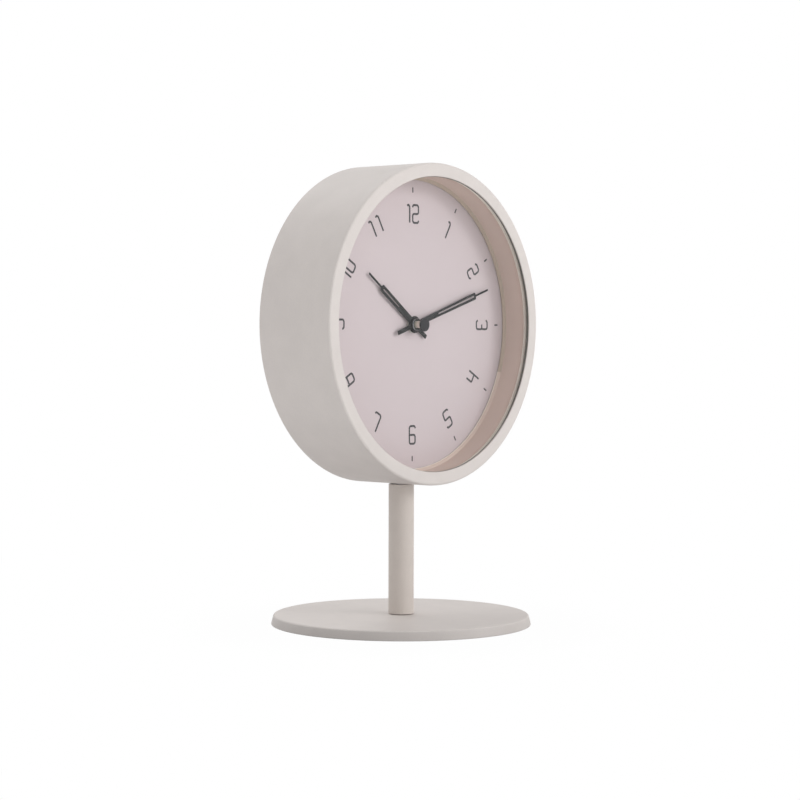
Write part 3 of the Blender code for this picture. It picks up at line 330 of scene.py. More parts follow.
class Finishes:
    """Every finish of the clock, made once and then shared."""

    def __init__(self) -> None:
        """Makes the materials."""
        # Polyester powder coat, baked: even and matt, with the faint orange peel that such a coat has
        self.case_coat = Finish("Warm grey powder coat", "D0C9C5", 0.55, grain=0.7, relief=0.012).make()
        # A darker, warmer copy of the case coat, as painted shade on the post under the drum
        self.tube_coat = Finish("Tube powder coat with painted shade", "CCC3BC", 0.55, grain=0.7, relief=0.012).make()
        self.wall_coat = Finish("Inner wall powder coat", "D3BEB3", 0.62, grain=0.7, relief=0.010).make()
        # A darker, more olive copy of the wall coat on the foot's chamfer: painted shade in the corner between
        # wall and dial
        self.foot_coat = Finish("Foot coat with painted shade", "B9A898", 0.62, grain=0.7, relief=0.010).make()
        # A near-white coat on the foot's lower edge: painted light, where the edge faces up towards the light
        self.light_edge = Finish("Foot edge with painted light", "F0E6D8", 0.5, grain=0.3, relief=0.004).make()
        # The wall's front bevel in near white: a painted light line where light comes in through the glass's
        # edge
        self.bare_edge = Finish("Front edge with painted light", "FAF0E6", 0.6, grain=0.3, relief=0.004).make()
        # Matt printing lacquer on aluminium sheet: flat, with hardly any grain
        self.dial_lacquer = Finish(
            "Matt dial lacquer", "CBBEC1", 0.75, grain=0.25, relief=0.002, shade=0.012, mottle=25
        ).make()
        # Screen printing ink: a thin dry film, a little uneven
        self.ink = Finish(
            "Screen printed ink", "474548", 0.6, grain=0.15, relief=0.004, shade=0.08, specular=0.2
        ).make()
        # Satin lacquer on stamped aluminium, black on the hands and a trifle lighter on the seconds disc
        satin = {"grain": 0.2, "relief": 0.002, "shade": 0.06, "specular": 0.2}
        self.hand_paint = Finish("Satin black lacquer", "1E1E20", 0.42, **satin).make()
        self.cap_paint = Finish("Satin grey lacquer", "232126", 0.38, **satin).make()
        # Black nickel plating, polished by tumbling
        self.black_nickel = Metal(
            "Black nickel plate", "8B8A8D", 0.14, grain=0.3, relief=0.001, shade=0.1
        ).make()
        # Bright nickel plating on the turned nut under the hands
        self.nickel = Metal("Bright nickel plate", "DAD7D2", 0.32, grain=0.3, relief=0.001, shade=0.05).make()
        # Gloss black lacquer in the collar's recess
        self.gloss_black = Finish(
            "Gloss black lacquer", "0C0C0D", 0.2, grain=0.3, relief=0.001, shade=0.1, specular=0.2
        ).make()
        # Acetal, moulded: creamy and slightly waxy
        self.acetal = Finish("Moulded acetal", "E6E0D2", 0.42, grain=0.4, relief=0.002, shade=0.02).make()
        self.tube_acetal = Finish("Cream acetal", "EADBD1", 0.4, grain=0.4, relief=0.002).make()
        # EPDM rubber, moulded
        self.rubber = Finish("Moulded rubber", "2B2A2A", 0.7, grain=0.3, relief=0.006, shade=0.1).make()
        # EPDM rubber strip, extruded: dark greenish grey and dry
        self.seal = Finish("Grey rubber strip", "6E6E69", 0.85, grain=0.4, relief=0.01, shade=0.15).make()
        # ABS, moulded in a spark eroded tool: an even fine grain
        self.abs = Finish(
            "Spark eroded black ABS", "29292B", 0.5, ior=1.53, grain=0.22, relief=0.012, shade=0.12
        ).make()
        # Zinc plated steel: bright, faintly drawn along the sheet
        self.zinc = Metal(
            "Zinc plated steel", "C3C6C9", 0.32, grain=0.4, relief=0.002, shade=0.08, stretch=(0.15, 1.0, 1.0)
        ).make()
        # Bare rolled strip, and spring steel with a tin plate
        self.brass = Metal("Rolled brass", "C9A55C", 0.3, grain=0.3, relief=0.001, shade=0.06).make()
        self.iron = Metal("Rolled soft iron", "9C9DA0", 0.4, grain=0.3, relief=0.002, shade=0.08).make()
        self.tin = Metal("Tinned spring steel", "CFCFCB", 0.28, grain=0.5, relief=0.001, shade=0.06).make()
        # Fibreglass board under green solder resist, and the resin over its chip
        self.board = Finish(
            "Solder resist on fibreglass", "1F5A38", 0.35, grain=0.8, relief=0.006, shade=0.2
        ).make()
        self.resin = Finish("Black epoxy resin", "1D1D1F", 0.35, grain=0.5, relief=0.006, shade=0.1).make()
        # Closed cell foam: open pores at its cut face
        self.foam = Finish("Cut closed cell foam", "333234", 0.92, grain=0.5, relief=0.08, shade=0.3).make()
        # Plain film, shrunk onto the cell
        self.cell_wrap = Finish(
            "Shrink wrap film", "3F5066", 0.3, grain=2.0, relief=0.004, shade=0.05, coat=0.3
        ).make()
        self.glass = ClearGlass().make()
        self.wire = WoundWire().make()


# Shapes


def rounded_chain(shape: Shape, corners: Sequence[Corner], closed: bool) -> None:
    """Draws a chain of edges in the XZ plane and rounds its corners.

    Args:
        shape: The bmesh to draw in.
        corners: Each corner's x, z and rounding, in metres.
        closed: Whether the last corner joins the first.
    """
    points = [shape.verts.new((across, 0.0, up)) for across, up, _ in corners]
    for first, second in zip(points, points[1:]):
        shape.edges.new((first, second))
    if closed:
        shape.edges.new((points[-1], points[0]))
    for point, (_, _, rounding) in zip(points, corners):
        if rounding:
            bmesh.ops.bevel(
                shape, geom=[point], offset=rounding, offset_type="OFFSET", segments=6, profile=0.5,
                affect="VERTICES", material=-1,
            )


def in_order(chain: Shape) -> list[Vector]:
    """The places of an open chain's points, from end to end.

    Args:
        chain: A bmesh that holds one open chain of edges.

    Returns:
        The places, in order.
    """
    ends = [point for point in chain.verts if len(point.link_edges) == 1]
    current = min(ends, key=lambda point: point.index)
    places = [current.co.copy()]
    passed = None
    while ways := [edge for edge in current.link_edges if edge is not passed]:
        passed = ways[0]
        current = passed.other_vert(current)
        places.append(current.co.copy())
    return places


def finish_mesh(name: str, shape: Shape, material: Material) -> Piece:
    """Makes an object at the origin from a bmesh that is already in place.

    Args:
        name: The piece's name.
        shape: The bmesh, which is freed.
        material: Its finish.

    Returns:
        The new object.
    """
    mesh = bpy.data.meshes.new(name)
    shape.to_mesh(mesh)
    shape.free()
    mesh.shade_smooth()
    mesh.set_sharp_from_angle(angle=SHARP_ANGLE)
    piece = bpy.data.objects.new(name, mesh)
    bpy.context.scene.collection.objects.link(piece)
    mesh.materials.append(material)
    return piece


def even_normals(piece: Piece) -> None:
    """Lets large flat faces keep a flat shading beside their rounded edges."""
    modifier = piece.modifiers.new("Even normals", "WEIGHTED_NORMAL")
    modifier.keep_sharp = True


def ring_profile(outer: float, inner: float, start: float, end: float, rounding: float) -> list[Corner]:
    """The profile of a plain ring or tube.

    Args:
        outer: Its outer radius.
        inner: Its inner radius.
        start: Where it starts along the axis.
        end: Where it ends.
        rounding: How far its edges are rounded.

    Returns:
        The corners: radius, place along the axis and rounding.
    """
    return [(*corner, rounding) for corner in ((outer, start), (outer, end), (inner, end), (inner, start))]


def turned(
    name: str,
    corners: Sequence[Corner],
    turning: Turning,
    centre: Vector,
    material: Material,
    steps: Steps = Steps.LARGE,
) -> Piece:
    """Turns a profile about an axis. One that starts on the axis makes a solid piece, any other a ring.

    Args:
        name: The piece's name.
        corners: The profile: radius, place along the axis and rounding.
        turning: Which way the axis runs.
        centre: Where the axis starts.
        material: Its finish.
        steps: Facets round the axis.

    Returns:
        The piece.
    """
    shape = bmesh.new()
    rounded_chain(shape, corners, closed=corners[0][0] > 0.0)
    profile = [*shape.verts, *shape.edges]
    bmesh.ops.spin(
        shape, geom=profile, axis=(0.0, 0.0, 1.0), angle=math.tau, steps=steps.value, use_merge=True
    )
    bmesh.ops.remove_doubles(shape, verts=shape.verts, dist=WELD)
    bmesh.ops.recalc_face_normals(shape, faces=shape.faces)
    shape.transform(Matrix.Translation(centre) @ turning.matrix)
    piece = finish_mesh(name, shape, material)
    even_normals(piece)
    return piece


def arc(centre: Point, radius: float, start: float, end: float, segments: int) -> list[Point]:
    """Points on an arc.

    Args:
        centre: The arc's centre.
        radius: Its radius.
        start: Its first angle in degrees.
        end: Its last angle in degrees.
        segments: How many pieces it is cut in.

    Returns:
        The points, first and last included.
    """
    turns = [math.radians(start + (end - start) * step / segments) for step in range(segments + 1)]
    return [(centre[0] + radius * math.cos(turn), centre[1] + radius * math.sin(turn)) for turn in turns]


def circle(radius: float, segments: int, centre: Point = (0.0, 0.0)) -> list[Point]:
    """A round outline, or a many-sided one if its segments are few.

    Args:
        radius: Its radius.
        segments: How many sides it has.
        centre: Its centre.

    Returns:
        The points, each once.
    """
    return arc(centre, radius, 0.0, 360.0, segments)[:-1]


def rounded_square(half: float, corner: float) -> list[Point]:
    """A square's outline with round corners.

    Args:
        half: Half its width.
        corner: The rounding of its corners.

    Returns:
        The points, each once.
    """
    inset = half - corner
    centres = ((inset, -inset), (inset, inset), (-inset, inset), (-inset, -inset))
    outline = []
    for centre, start in zip(centres, (-90, 0, 90, 180)):
        outline += arc(centre, corner, start, start + 90, 8)
    return outline


def curve_mesh(curve: bpy.types.Curve, place: Matrix) -> Shape:
    """Turns a curve into a welded bmesh and puts it in place.

    Args:
        curve: The curve, which is removed.
        place: The transform to its place.

    Returns:
        The bmesh.
    """
    source = bpy.data.objects.new(curve.name, curve)
    bpy.context.scene.collection.objects.link(source)
    graph = bpy.context.evaluated_depsgraph_get()
    mesh = bpy.data.meshes.new_from_object(source.evaluated_get(graph))
    shape = bmesh.new()
    shape.from_mesh(mesh)
    bmesh.ops.remove_doubles(shape, verts=shape.verts, dist=WELD)
    shape.transform(place)
    bmesh.ops.recalc_face_normals(shape, faces=shape.faces)
    bpy.data.objects.remove(source)
    bpy.data.curves.remove(curve)
    bpy.data.meshes.remove(mesh)
    return shape


@dataclass
class Head:
    """The place of the clock's head, from which its pieces are measured."""

    height: float = 151.5 * MM
    front: float = -24.5 * MM

    def at(self, depth: float = 0.0, x: float = 0.0, z: float = 0.0) -> Vector:
        """A point at a depth, across and up from the axis of the hands."""
        return Vector((x, self.front + depth, self.height + z))

    def reach(self, place: Vector) -> float:
        """How far a place is from the axis of the hands."""
        return math.hypot(place.x, place.z - self.at().z)

    def plate(
        self,
        name: str,
        outlines: Iterable[Sequence[Point]],
        depths: Span,
        material: Material,
        edge: float,
        spin: float = 0.0,
        place: Point = (0.0, 0.0),
    ) -> Piece:
        """Makes a flat plate with rounded edges that faces the viewer.

        Args:
            name: The piece's name.
            outlines: Its outline and the outlines of its holes.
            depths: Its front and rear depth.
            material: Its finish.
            edge: How far its edges are rounded.
            spin: How far it is turned clockwise, in radians.
            place: Where its outline's origin goes, from the axis of the hands.

        Returns:
            The piece.
        """
        front, back = depths
        curve = bpy.data.curves.new(name, "CURVE")
        curve.dimensions = "2D"
        curve.fill_mode = "BOTH"
        curve.extrude = (back - front) / 2 - edge
        curve.bevel_depth = edge
        curve.bevel_resolution = 2
        curve.offset = -edge
        for outline in outlines:
            spline = curve.splines.new("POLY")
            spline.points.add(len(outline) - 1)
            for point, (across, up) in zip(spline.points, outline):
                point.co = (across, up, 0.0, 1.0)
            spline.use_cyclic_u = True
        turn = Matrix.Rotation(spin, 4, "Y") @ Matrix.Rotation(math.radians(90), 4, "X")
        centre = self.at((front + back) / 2, *place)
        shape = curve_mesh(curve, Matrix.Translation(centre) @ turn)
        return finish_mesh(name, shape, material)


def cut(piece: Piece, cutter: Piece) -> None:
    """Cuts a turned piece with another piece, which is then removed.

    Args:
        piece: The piece to cut.
        cutter: What is taken away from it.
    """
    piece.modifiers.clear()
    modifier = piece.modifiers.new("Cut", "BOOLEAN")
    modifier.operation = "DIFFERENCE"
    modifier.solver = "EXACT"
    modifier.object = cutter
    graph = bpy.context.evaluated_depsgraph_get()
    mesh = bpy.data.meshes.new_from_object(piece.evaluated_get(graph))
    piece.modifiers.clear()
    old = piece.data
    piece.data = mesh
    mesh.name = piece.name
    bpy.data.meshes.remove(old)
    bpy.data.objects.remove(cutter)
    mesh.set_sharp_from_angle(angle=SHARP_ANGLE)
    even_normals(piece)


def softened_copy(node: str, material: Material, edge: float) -> Piece:
    """Makes a piece of a flat-sided node's own shape, with its edges rounded.

    Args:
        node: The CAD node to copy and to stand for.
        material: Its finish.
        edge: How far its edges are rounded.

    Returns:
        The piece.
    """
    shape = bmesh.new()
    shape.from_mesh(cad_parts[node].data)
    bmesh.ops.remove_doubles(shape, verts=shape.verts, dist=WELD)
    bmesh.ops.dissolve_limit(
        shape, angle_limit=math.radians(1), verts=shape.verts, edges=shape.edges, delimit=set()
    )
    for face in shape.faces:
        face.material_index = 0
    piece = finish_mesh(f"{node}_shape", shape, material)
    bevel = piece.modifiers.new("Soft edges", "BEVEL")
    bevel.width = edge
    bevel.segments = 2
    bevel.limit_method = "ANGLE"
    bevel.angle_limit = math.radians(40)
    even_normals(piece)
    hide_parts(node)
    return piece


def stands_for(piece: Piece, *nodes: str, body: str = STILL) -> None:
    """Puts a piece on its body in place of the CAD nodes it stands for, and reports it.

    Args:
        piece: The piece.
        nodes: The nodes it replaces.
        body: The body it rides on.
    """
    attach(piece, body)
    if nodes:
        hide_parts(*nodes)
    LOG.info("%s on %s, %d faces", piece.name, body, len(piece.data.polygons))


def dress(node: str, material: Material) -> None:
    """Gives a CAD node that stays its finish.

    Args:
        node: The node.
        material: Its finish.
    """
    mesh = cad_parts[node].data
    mesh.materials.clear()
    mesh.materials.append(material)
    LOG.info("%s keeps its shape, with %s", node, material.name)


# Sub-assemblies


@dataclass
class Stand:
    """Base disc, its pad, the post and what holds them together."""

    finishes: Finishes
    base_radius: float = 65.6 * MM
    base_top_radius: float = 64.4 * MM
    base_lift: float = 0.6 * MM
    base_top: float = 5.4 * MM
    base_round: float = 0.8 * MM
    pad_radius: float = 60.0 * MM
    pad_hole: float = 10.0 * MM
    pad_top: float = 1.3 * MM
    recess_radius: float = 60.3 * MM
    recess_top: float = 1.6 * MM
    bore_radius: float = 2.7 * MM
    counterbore_radius: float = 5.0 * MM
    counterbore_top: float = 3.6 * MM
    post_radius: float = 6.4 * MM
    post_bore: float = 5.2 * MM
    post_bottom: float = 5.7 * MM
    post_top: float = 71.2 * MM
    post_round: float = 0.25 * MM

    def build(self) -> None:
        """Builds and dresses the stand."""
        coats = self.finishes
        base = [
            (self.base_top_radius, self.base_top, self.base_round),
            (self.base_radius, self.base_lift, EASED),
            (self.recess_radius, self.base_lift, FINE),
            (self.recess_radius, self.recess_top, 0.0),
            (self.counterbore_radius, self.recess_top, FINE),
            (self.counterbore_radius, self.counterbore_top, 0.0),
            (self.bore_radius, self.counterbore_top, 0.0),
            (self.bore_radius, self.base_top, FINE),
        ]
        stands_for(turned("base_disc", base, Turning.UP, ORIGIN, coats.case_coat), "base_plate")
        pad = ring_profile(self.pad_radius, self.pad_hole, self.pad_top, 0.0, FINE)
        stands_for(turned("foam_pad", pad, Turning.UP, ORIGIN, coats.foam), "base_pad")
        bottom, top = self.post_bottom, self.post_top
        tube = ring_profile(self.post_radius, self.post_bore, top, bottom, self.post_round)
        # The post gets the copy of the case coat with painted shade
        stands_for(turned("post", tube, Turning.UP, ORIGIN, coats.tube_coat, Steps.MEDIUM), "post_tube")
        for node in ("base_screw", "post_foot_insert", "post_head_insert", "head_screw", "head_saddle"):
            dress(node, coats.zinc)


@dataclass
class Case:
    """Drum, gasket, glass and the inner wall between glass and dial."""

    finishes: Finishes
    head: Head
    radius: float = 80.0 * MM
    inner_radius: float = 78.8 * MM
    depth: float = 46.3 * MM
    lip_radius: float = 73.3 * MM
    lip: float = 1.0 * MM
    outer_round: float = 1.2 * MM
    rear_round: float = 0.5 * MM
    stack_radius: float = 78.2 * MM
    gasket: Span = (1.3 * MM, 1.9 * MM)
    gasket_root: float = 0.3 * MM
    lining: float = 0.05 * MM
    lining_gap: float = 0.02 * MM
    nose: float = 0.15 * MM
    nose_front: float = 0.4 * MM
    nose_round: float = 0.03 * MM
    nose_slope: float = 2.0 * MM
    nose_fade: float = 0.45
    nose_least: float = 0.05
    glass: Span = (2.2 * MM, 3.7 * MM)
    wall_front: float = 4.0 * MM
    wall_radius: float = 74.0 * MM
    wall_bevel: float = 0.9 * MM
    wall_back: float = 17.8 * MM
    wall_thickness: float = 1.0 * MM
    foot: float = 0.9 * MM
    foot_height: float = 0.5 * MM
    # How far below the axis the foot's painted light starts
    light_below: float = 25.0 * MM
    screw_hole: float = 2.7 * MM
    # Keeps the drill's corners off the drum's own rows, so that the cut leaves no slivers
    drill_turn: float = math.radians(4.0)

    def build(self) -> None:
        """Builds and dresses the case, from the front rearwards."""
        self.drum()
        self.seal()
        self.pane()
        self.wall()

    def drum(self) -> None:
        """The drum with its turned-in lip and the hole for the post's screw."""
        profile = [
            (self.radius, 0.0, self.outer_round),
            (self.radius, self.depth, self.rear_round),
            (self.inner_radius, self.depth, self.rear_round),
            (self.inner_radius, self.lip, EASED),
            (self.lip_radius, self.lip, SOFT),
            (self.lip_radius, 0.0, EASED),
        ]
        drum = turned("drum", profile, Turning.REARWARD, self.head.at(), self.finishes.case_coat)
        top, floor = self.head.height, self.head.height - self.radius - self.lip
        hole = [
            (0.0, top, 0.0), (self.screw_hole, top, 0.0), (self.screw_hole, floor, 0.0), (0.0, floor, 0.0)
        ]
        drill = turned("drill", hole, Turning.UP, ORIGIN, self.finishes.case_coat, Steps.SMALL)
        drill.data.transform(Matrix.Rotation(self.drill_turn, 4, "Z"))
        cut(drum, drill)
        stands_for(drum, "case_drum")

    def seal(self) -> None:
        """The gasket between lip and glass, with a nose that lines the lip's edge: partly a real gasket,
        partly a dark sheet of painted shade over the lip's inner face.
        """
        front, back = self.gasket
        nose = self.lip_radius - self.nose
        lining = self.lip_radius - self.lining
        profile = [
            (self.stack_radius, front, SOFT),
            (self.stack_radius, back, SOFT),
            (self.lip_radius + self.nose_slope, back, SOFT),
            (nose, front, self.nose_round),
            (nose, self.nose_front, self.nose_round),
            # The lining: dark rubber over the lip's inner face, as painted shade
            (lining, self.nose_front, self.nose_round),
            (lining, self.lip + self.lining_gap, 0.0),
            (self.lip_radius + self.gasket_root, front, 0.0),
        ]
        seal = turned("glass_seal", profile, Turning.REARWARD, self.head.at(), self.finishes.seal)
        self.squeeze(seal)
        stands_for(seal, "lens_gasket")

    def squeeze(self, seal: Piece) -> None:
        """Lets the gasket's nose stand out at the sides and fade towards top and bottom, so that its line of
        painted shade is wide at the sides and thin at top and bottom.

        Args:
            seal: The gasket, whose nose is moved in the mesh.
        """
        behind = self.head.at(self.lip).y
        for vertex in seal.data.vertices:
            sideways = abs(vertex.co.x) / self.head.reach(vertex.co)
            share = (sideways - self.nose_fade) / (1.0 - self.nose_fade)
            if vertex.co.y < behind:
                vertex.co.y = behind + (vertex.co.y - behind) * max(share, self.nose_least)

    def pane(self) -> None:
        """The glass, which casts no shadow on what lies behind it."""
        front, back = self.glass
        radius = self.stack_radius
        profile = [(0.0, front, 0.0), (radius, front, SOFT), (radius, back, SOFT), (0.0, back, 0.0)]
        pane = turned("glass_pane", profile, Turning.REARWARD, self.head.at(), self.finishes.glass)
        pane.visible_shadow = False
        pane.visible_diffuse = False
        stands_for(pane, "lens")

    def wall(self) -> None:
        """The inner wall, with painted light on its front bevel, and painted shade on its chamfered foot that
        gives way to painted light lower down.
        """
        front, back, inner = self.wall_front, self.wall_back, self.lip_radius - self.foot
        outside = self.wall_radius + self.wall_thickness
        profile = [
            (self.stack_radius, front, SOFT),
            (self.stack_radius, front + self.wall_thickness, SOFT),
            (outside, front + self.wall_thickness, SOFT),
            (outside, back - self.wall_thickness, SOFT),
            (self.stack_radius, back - self.wall_thickness, SOFT),
            (self.stack_radius, back, SOFT),
            (inner, back, FINE),
            (inner, back - self.foot_height, FINE),
            (self.wall_radius, back - self.foot_height - self.foot, SOFT),
            (self.wall_radius, front + self.wall_bevel, SOFT),
            (self.wall_radius + self.wall_bevel, front, SOFT),
        ]
        ring = turned("inner_wall", profile, Turning.REARWARD, self.head.at(), self.finishes.wall_coat)
        for material in (self.finishes.bare_edge, self.finishes.foot_coat, self.finishes.light_edge):
            ring.data.materials.append(material)
        lit_front, shaded_foot, light = 1, 2, 3
        edge = self.head.at(front + self.wall_bevel).y
        foot = self.head.at(back - self.foot_height - self.foot).y
        light_top = self.head.at().z - self.light_below
        for face in ring.data.polygons:
            reach = self.head.reach(face.center)
            on_foot = face.center.y > foot
            # Painted light on the front bevel
            if face.center.y < edge:
                face.material_index = lit_front
            # Painted shade on the foot's chamfer and inner face, except in the lower part
            elif on_foot and reach < self.wall_radius and face.center.z > light_top:
                face.material_index = shaded_foot
            # Painted light on the foot's inner face in the lower part, which faces up
            elif on_foot and reach < inner + SLACK:
                face.material_index = light
        stands_for(ring, "spacer_ring")


# A digit's strokes run on a frame of this size, in millimetres about its own middle
LEFT, RIGHT = -2.2, 2.2
FOOT, TOP = -4.45, 4.45
# How far the corners of a bowl, a hook and a tight bend are rounded
BOWL = 1.25
HOOK = 1.1
BEND = 0.9
# Where two strokes end on one another, one runs on by this much
LAP = 0.1

# Strokes as corners of x, z and rounding
OVAL = [
    (0.0, TOP, 0.0), (RIGHT, TOP, BOWL), (RIGHT, FOOT, BOWL), (LEFT, FOOT, BOWL), (LEFT, TOP, BOWL),
    (LAP, TOP, 0.0),
]
SIX = [
    (RIGHT, TOP - BOWL, 0.0), (RIGHT, TOP, HOOK), (LEFT, TOP, BOWL), (LEFT, FOOT, BOWL),
    (RIGHT, FOOT, BOWL), (RIGHT, 0.0, HOOK), (LEFT, 0.0, 0.0),
]
DIGITS = {
    "0": [OVAL],
    "1": [[(-1.9, TOP - 0.6, 0.0), (-1.2, TOP, 0.4), (0.0, TOP - 0.5, BEND), (0.0, FOOT, 0.0)]],
    "2": [
        [
            (LEFT, TOP - BOWL, 0.0), (LEFT, TOP, HOOK), (RIGHT, TOP, BOWL), (RIGHT, 0.0, HOOK),
            (LEFT, 0.0, HOOK), (LEFT, FOOT, BOWL), (RIGHT, FOOT, HOOK), (RIGHT, BOWL + FOOT, 0.0),
        ]
    ],
    "3": [
        [
            (LEFT, TOP - BOWL, 0.0), (LEFT, TOP, HOOK), (RIGHT, TOP, BOWL), (RIGHT, 0.0, BEND),
            (-0.3, 0.0, 0.0),
        ],
        [
            (LAP - 0.3, 0.0, 0.0), (RIGHT, 0.0, BEND), (RIGHT, FOOT, BOWL), (LEFT, FOOT, HOOK),
            (LEFT, BOWL + FOOT, 0.0),
        ],
    ],
    "4": [
        [(LEFT, TOP, 0.0), (LEFT, -0.1, 0.7), (RIGHT, -0.1, 0.0)],
        [(RIGHT, TOP, 0.0), (RIGHT, FOOT, 0.0)],
    ],
    "5": [
        [
            (RIGHT, TOP - 1.0, 0.0), (RIGHT, TOP, BEND), (LEFT, TOP, BOWL), (LEFT, 0.0, 0.5),
            (RIGHT, 0.0, 0.7), (RIGHT, FOOT, BOWL), (LEFT, FOOT, BEND), (LEFT, 1.0 + FOOT, 0.0),
        ]
    ],
    "6": [SIX],
    "7": [[(LEFT, TOP - 1.0, 0.0), (LEFT, TOP, 0.8), (RIGHT, TOP, BOWL), (RIGHT, FOOT, 0.0)]],
    "8": [OVAL, [(LEFT, 0.0, 0.0), (RIGHT, 0.0, 0.0)]],
    "9": [[(-x, -z, rounding) for x, z, rounding in SIX]],
}


@dataclass
class Dial:
    """The dial plate and what is printed on it."""

    finishes: Finishes
    head: Head
    radius: float = 78.2 * MM
    front: float = 18.1 * MM
    back: float = 19.3 * MM
    hole: float = 3.7 * MM
    numeral_radius: float = 55.4 * MM
    stroke: float = 1.06 * MM
    tick_radius: float = 67.3 * MM
    tick_length: float = 2.6 * MM
    tick_width: float = 0.85 * MM
    film: float = 0.03 * MM
    # The hours whose numerals stand with their feet outwards
    lower_hours: range = range(4, 9)
    # How far the two digits of a numeral stand from its middle, in millimetres
    pairs: dict[str, Span] = field(
        default_factory=lambda: {"10": (-3.3, 1.2), "11": (-2.1, 3.8), "12": (-2.35, 2.15)}
    )

    def build(self) -> None:
        """Builds and dresses the dial."""
        profile = ring_profile(self.radius, self.hole, self.front, self.back, FINE)
        plate = turned("dial_sheet", profile, Turning.REARWARD, self.head.at(), self.finishes.dial_lacquer)
        stands_for(plate, "dial_plate")
        strokes = bmesh.new()
        for hour in range(1, 13):
            self.tick(strokes, hour)
            self.numeral(strokes, hour)
        stands_for(finish_mesh("dial_print", strokes, self.finishes.ink))

    def tick(self, strokes: Shape, hour: int) -> None:
        """Adds an hour's tick.

        Args:
            strokes: The bmesh that takes every stroke.
            hour: The hour.
        """
        half = self.tick_length / 2
        line = [(0.0, self.tick_radius - half, 0.0), (0.0, self.tick_radius + half, 0.0)]
        self.ribbon(strokes, line, self.tick_width, self.turn_of(hour))

    def numeral(self, strokes: Shape, hour: int) -> None:
        """Adds an hour's numeral.

        Args:
            strokes: The bmesh that takes every stroke.
            hour: The hour.
        """
        text = str(hour)
        up = Matrix.Rotation(math.pi if hour in self.lower_hours else 0.0, 4, "Y")
        place = self.turn_of(hour) @ Matrix.Translation((0.0, 0.0, self.numeral_radius)) @ up
        for digit, shift in zip(text, self.pairs.get(text, (0.0,))):
            for path in DIGITS[digit]:
                moved = [((x + shift) * MM, z * MM, rounding * MM) for x, z, rounding in path]
                self.ribbon(strokes, moved, self.stroke, place)

    def turn_of(self, hour: int) -> Matrix:
        """The turn from twelve o'clock to an hour, clockwise for the viewer."""
        return Matrix.Rotation(math.tau * hour / 12, 4, "Y")

    def ribbon(self, strokes: Shape, path: Sequence[Corner], width: float, place: Matrix) -> None:
        """Adds one stroke of ink, a closed flat cushion along its path.

        Args:
            strokes: The bmesh that takes every stroke.
            path: The stroke's corners: x, z and rounding.
            width: Its width.
            place: The transform to its place about the axis of the hands.
        """
        chain = bmesh.new()
        rounded_chain(chain, path, closed=False)
        line = in_order(chain)
        chain.free()
        curve = bpy.data.curves.new("stroke", "CURVE")
        curve.dimensions = "3D"
        curve.bevel_depth = width / 2
        curve.bevel_resolution = 2
        curve.use_fill_caps = True
        spline = curve.splines.new("POLY")
        spline.points.add(len(line) - 1)
        for point, where in zip(spline.points, line):
            point.co = (*where, 1.0)
        flat = Matrix.Diagonal((1.0, self.film / width, 1.0, 1.0))
        centre = Matrix.Translation(self.head.at(self.front - self.film))
        shape = curve_mesh(curve, centre @ place @ flat)
        mesh = bpy.data.meshes.new("stroke")
        shape.to_mesh(mesh)
        shape.free()
        strokes.from_mesh(mesh)
        bpy.data.meshes.remove(mesh)


@dataclass
class HandShape:
    """One slotted hand, as lengths from the axis."""

    name: str
    node: str
    body: str
    depths: Span
    angle: float
    length: float
    needle: float
    half_widths: Span
    hub: float
    slot: Span
    tail: float
    bore: float
    needle_half: float = 0.5 * MM
    tail_half: float = 1.1 * MM
    slot_halves: Span = (0.35 * MM, 0.50 * MM)
    shoulder: float = 0.6 * MM
    edge: float = 0.08 * MM

    def outline(self) -> list[Point]:
        """The hand's outer outline, pointing up.

        Returns:
            The points, each once.
        """
        narrow, wide = self.half_widths
        tail_spread = math.degrees(math.asin(self.tail_half / self.hub))
        body_spread = math.degrees(math.asin(narrow / self.hub))
        return [
            (-self.tail_half, -self.tail),
            (self.tail_half, -self.tail),
            *arc((0.0, 0.0), self.hub, -90 + tail_spread, 90 - body_spread, 20),
            (wide, self.needle - self.shoulder),
            (self.needle_half, self.needle),
            (self.needle_half, self.length),
            (-self.needle_half, self.length),
            (-self.needle_half, self.needle),
            (-wide, self.needle - self.shoulder),
            *arc((0.0, 0.0), self.hub, 90 + body_spread, 270 - tail_spread, 20),
        ]

    def build(self, head: Head, material: Material) -> None:
        """Builds the hand.

        Args:
            head: The head that carries it.
            material: Its finish.
        """
        start, end = self.slot
        narrow, wide = self.slot_halves
        slot = [(-narrow, start), (narrow, start), (wide, end), (-wide, end)]
        outlines = [self.outline(), slot, circle(self.bore, 48)]
        turn = math.radians(self.angle)
        piece = head.plate(self.name, outlines, self.depths, material, self.edge, turn)
        stands_for(piece, self.node, body=self.body)


HANDS = (
    HandShape(
        name="hour_hand_blade", node="hour_hand", body="hour_hand_set", depths=(16.4 * MM, 16.8 * MM),
        angle=306.0, length=42.4 * MM, needle=31.2 * MM, half_widths=(1.7 * MM, 1.9 * MM), hub=4.3 * MM,
        slot=(14.6 * MM, 29.4 * MM), tail=10.8 * MM, bore=2.6 * MM,
    ),
    HandShape(
        name="minute_hand_blade", node="minute_hand", body="minute_hand_set", depths=(15.7 * MM, 16.1 * MM),
        angle=72.4, length=60.3 * MM, needle=50.0 * MM, half_widths=(1.35 * MM, 1.8 * MM), hub=3.8 * MM,
        slot=(18.6 * MM, 48.6 * MM), tail=14.2 * MM, bore=2.0 * MM,
    ),
)


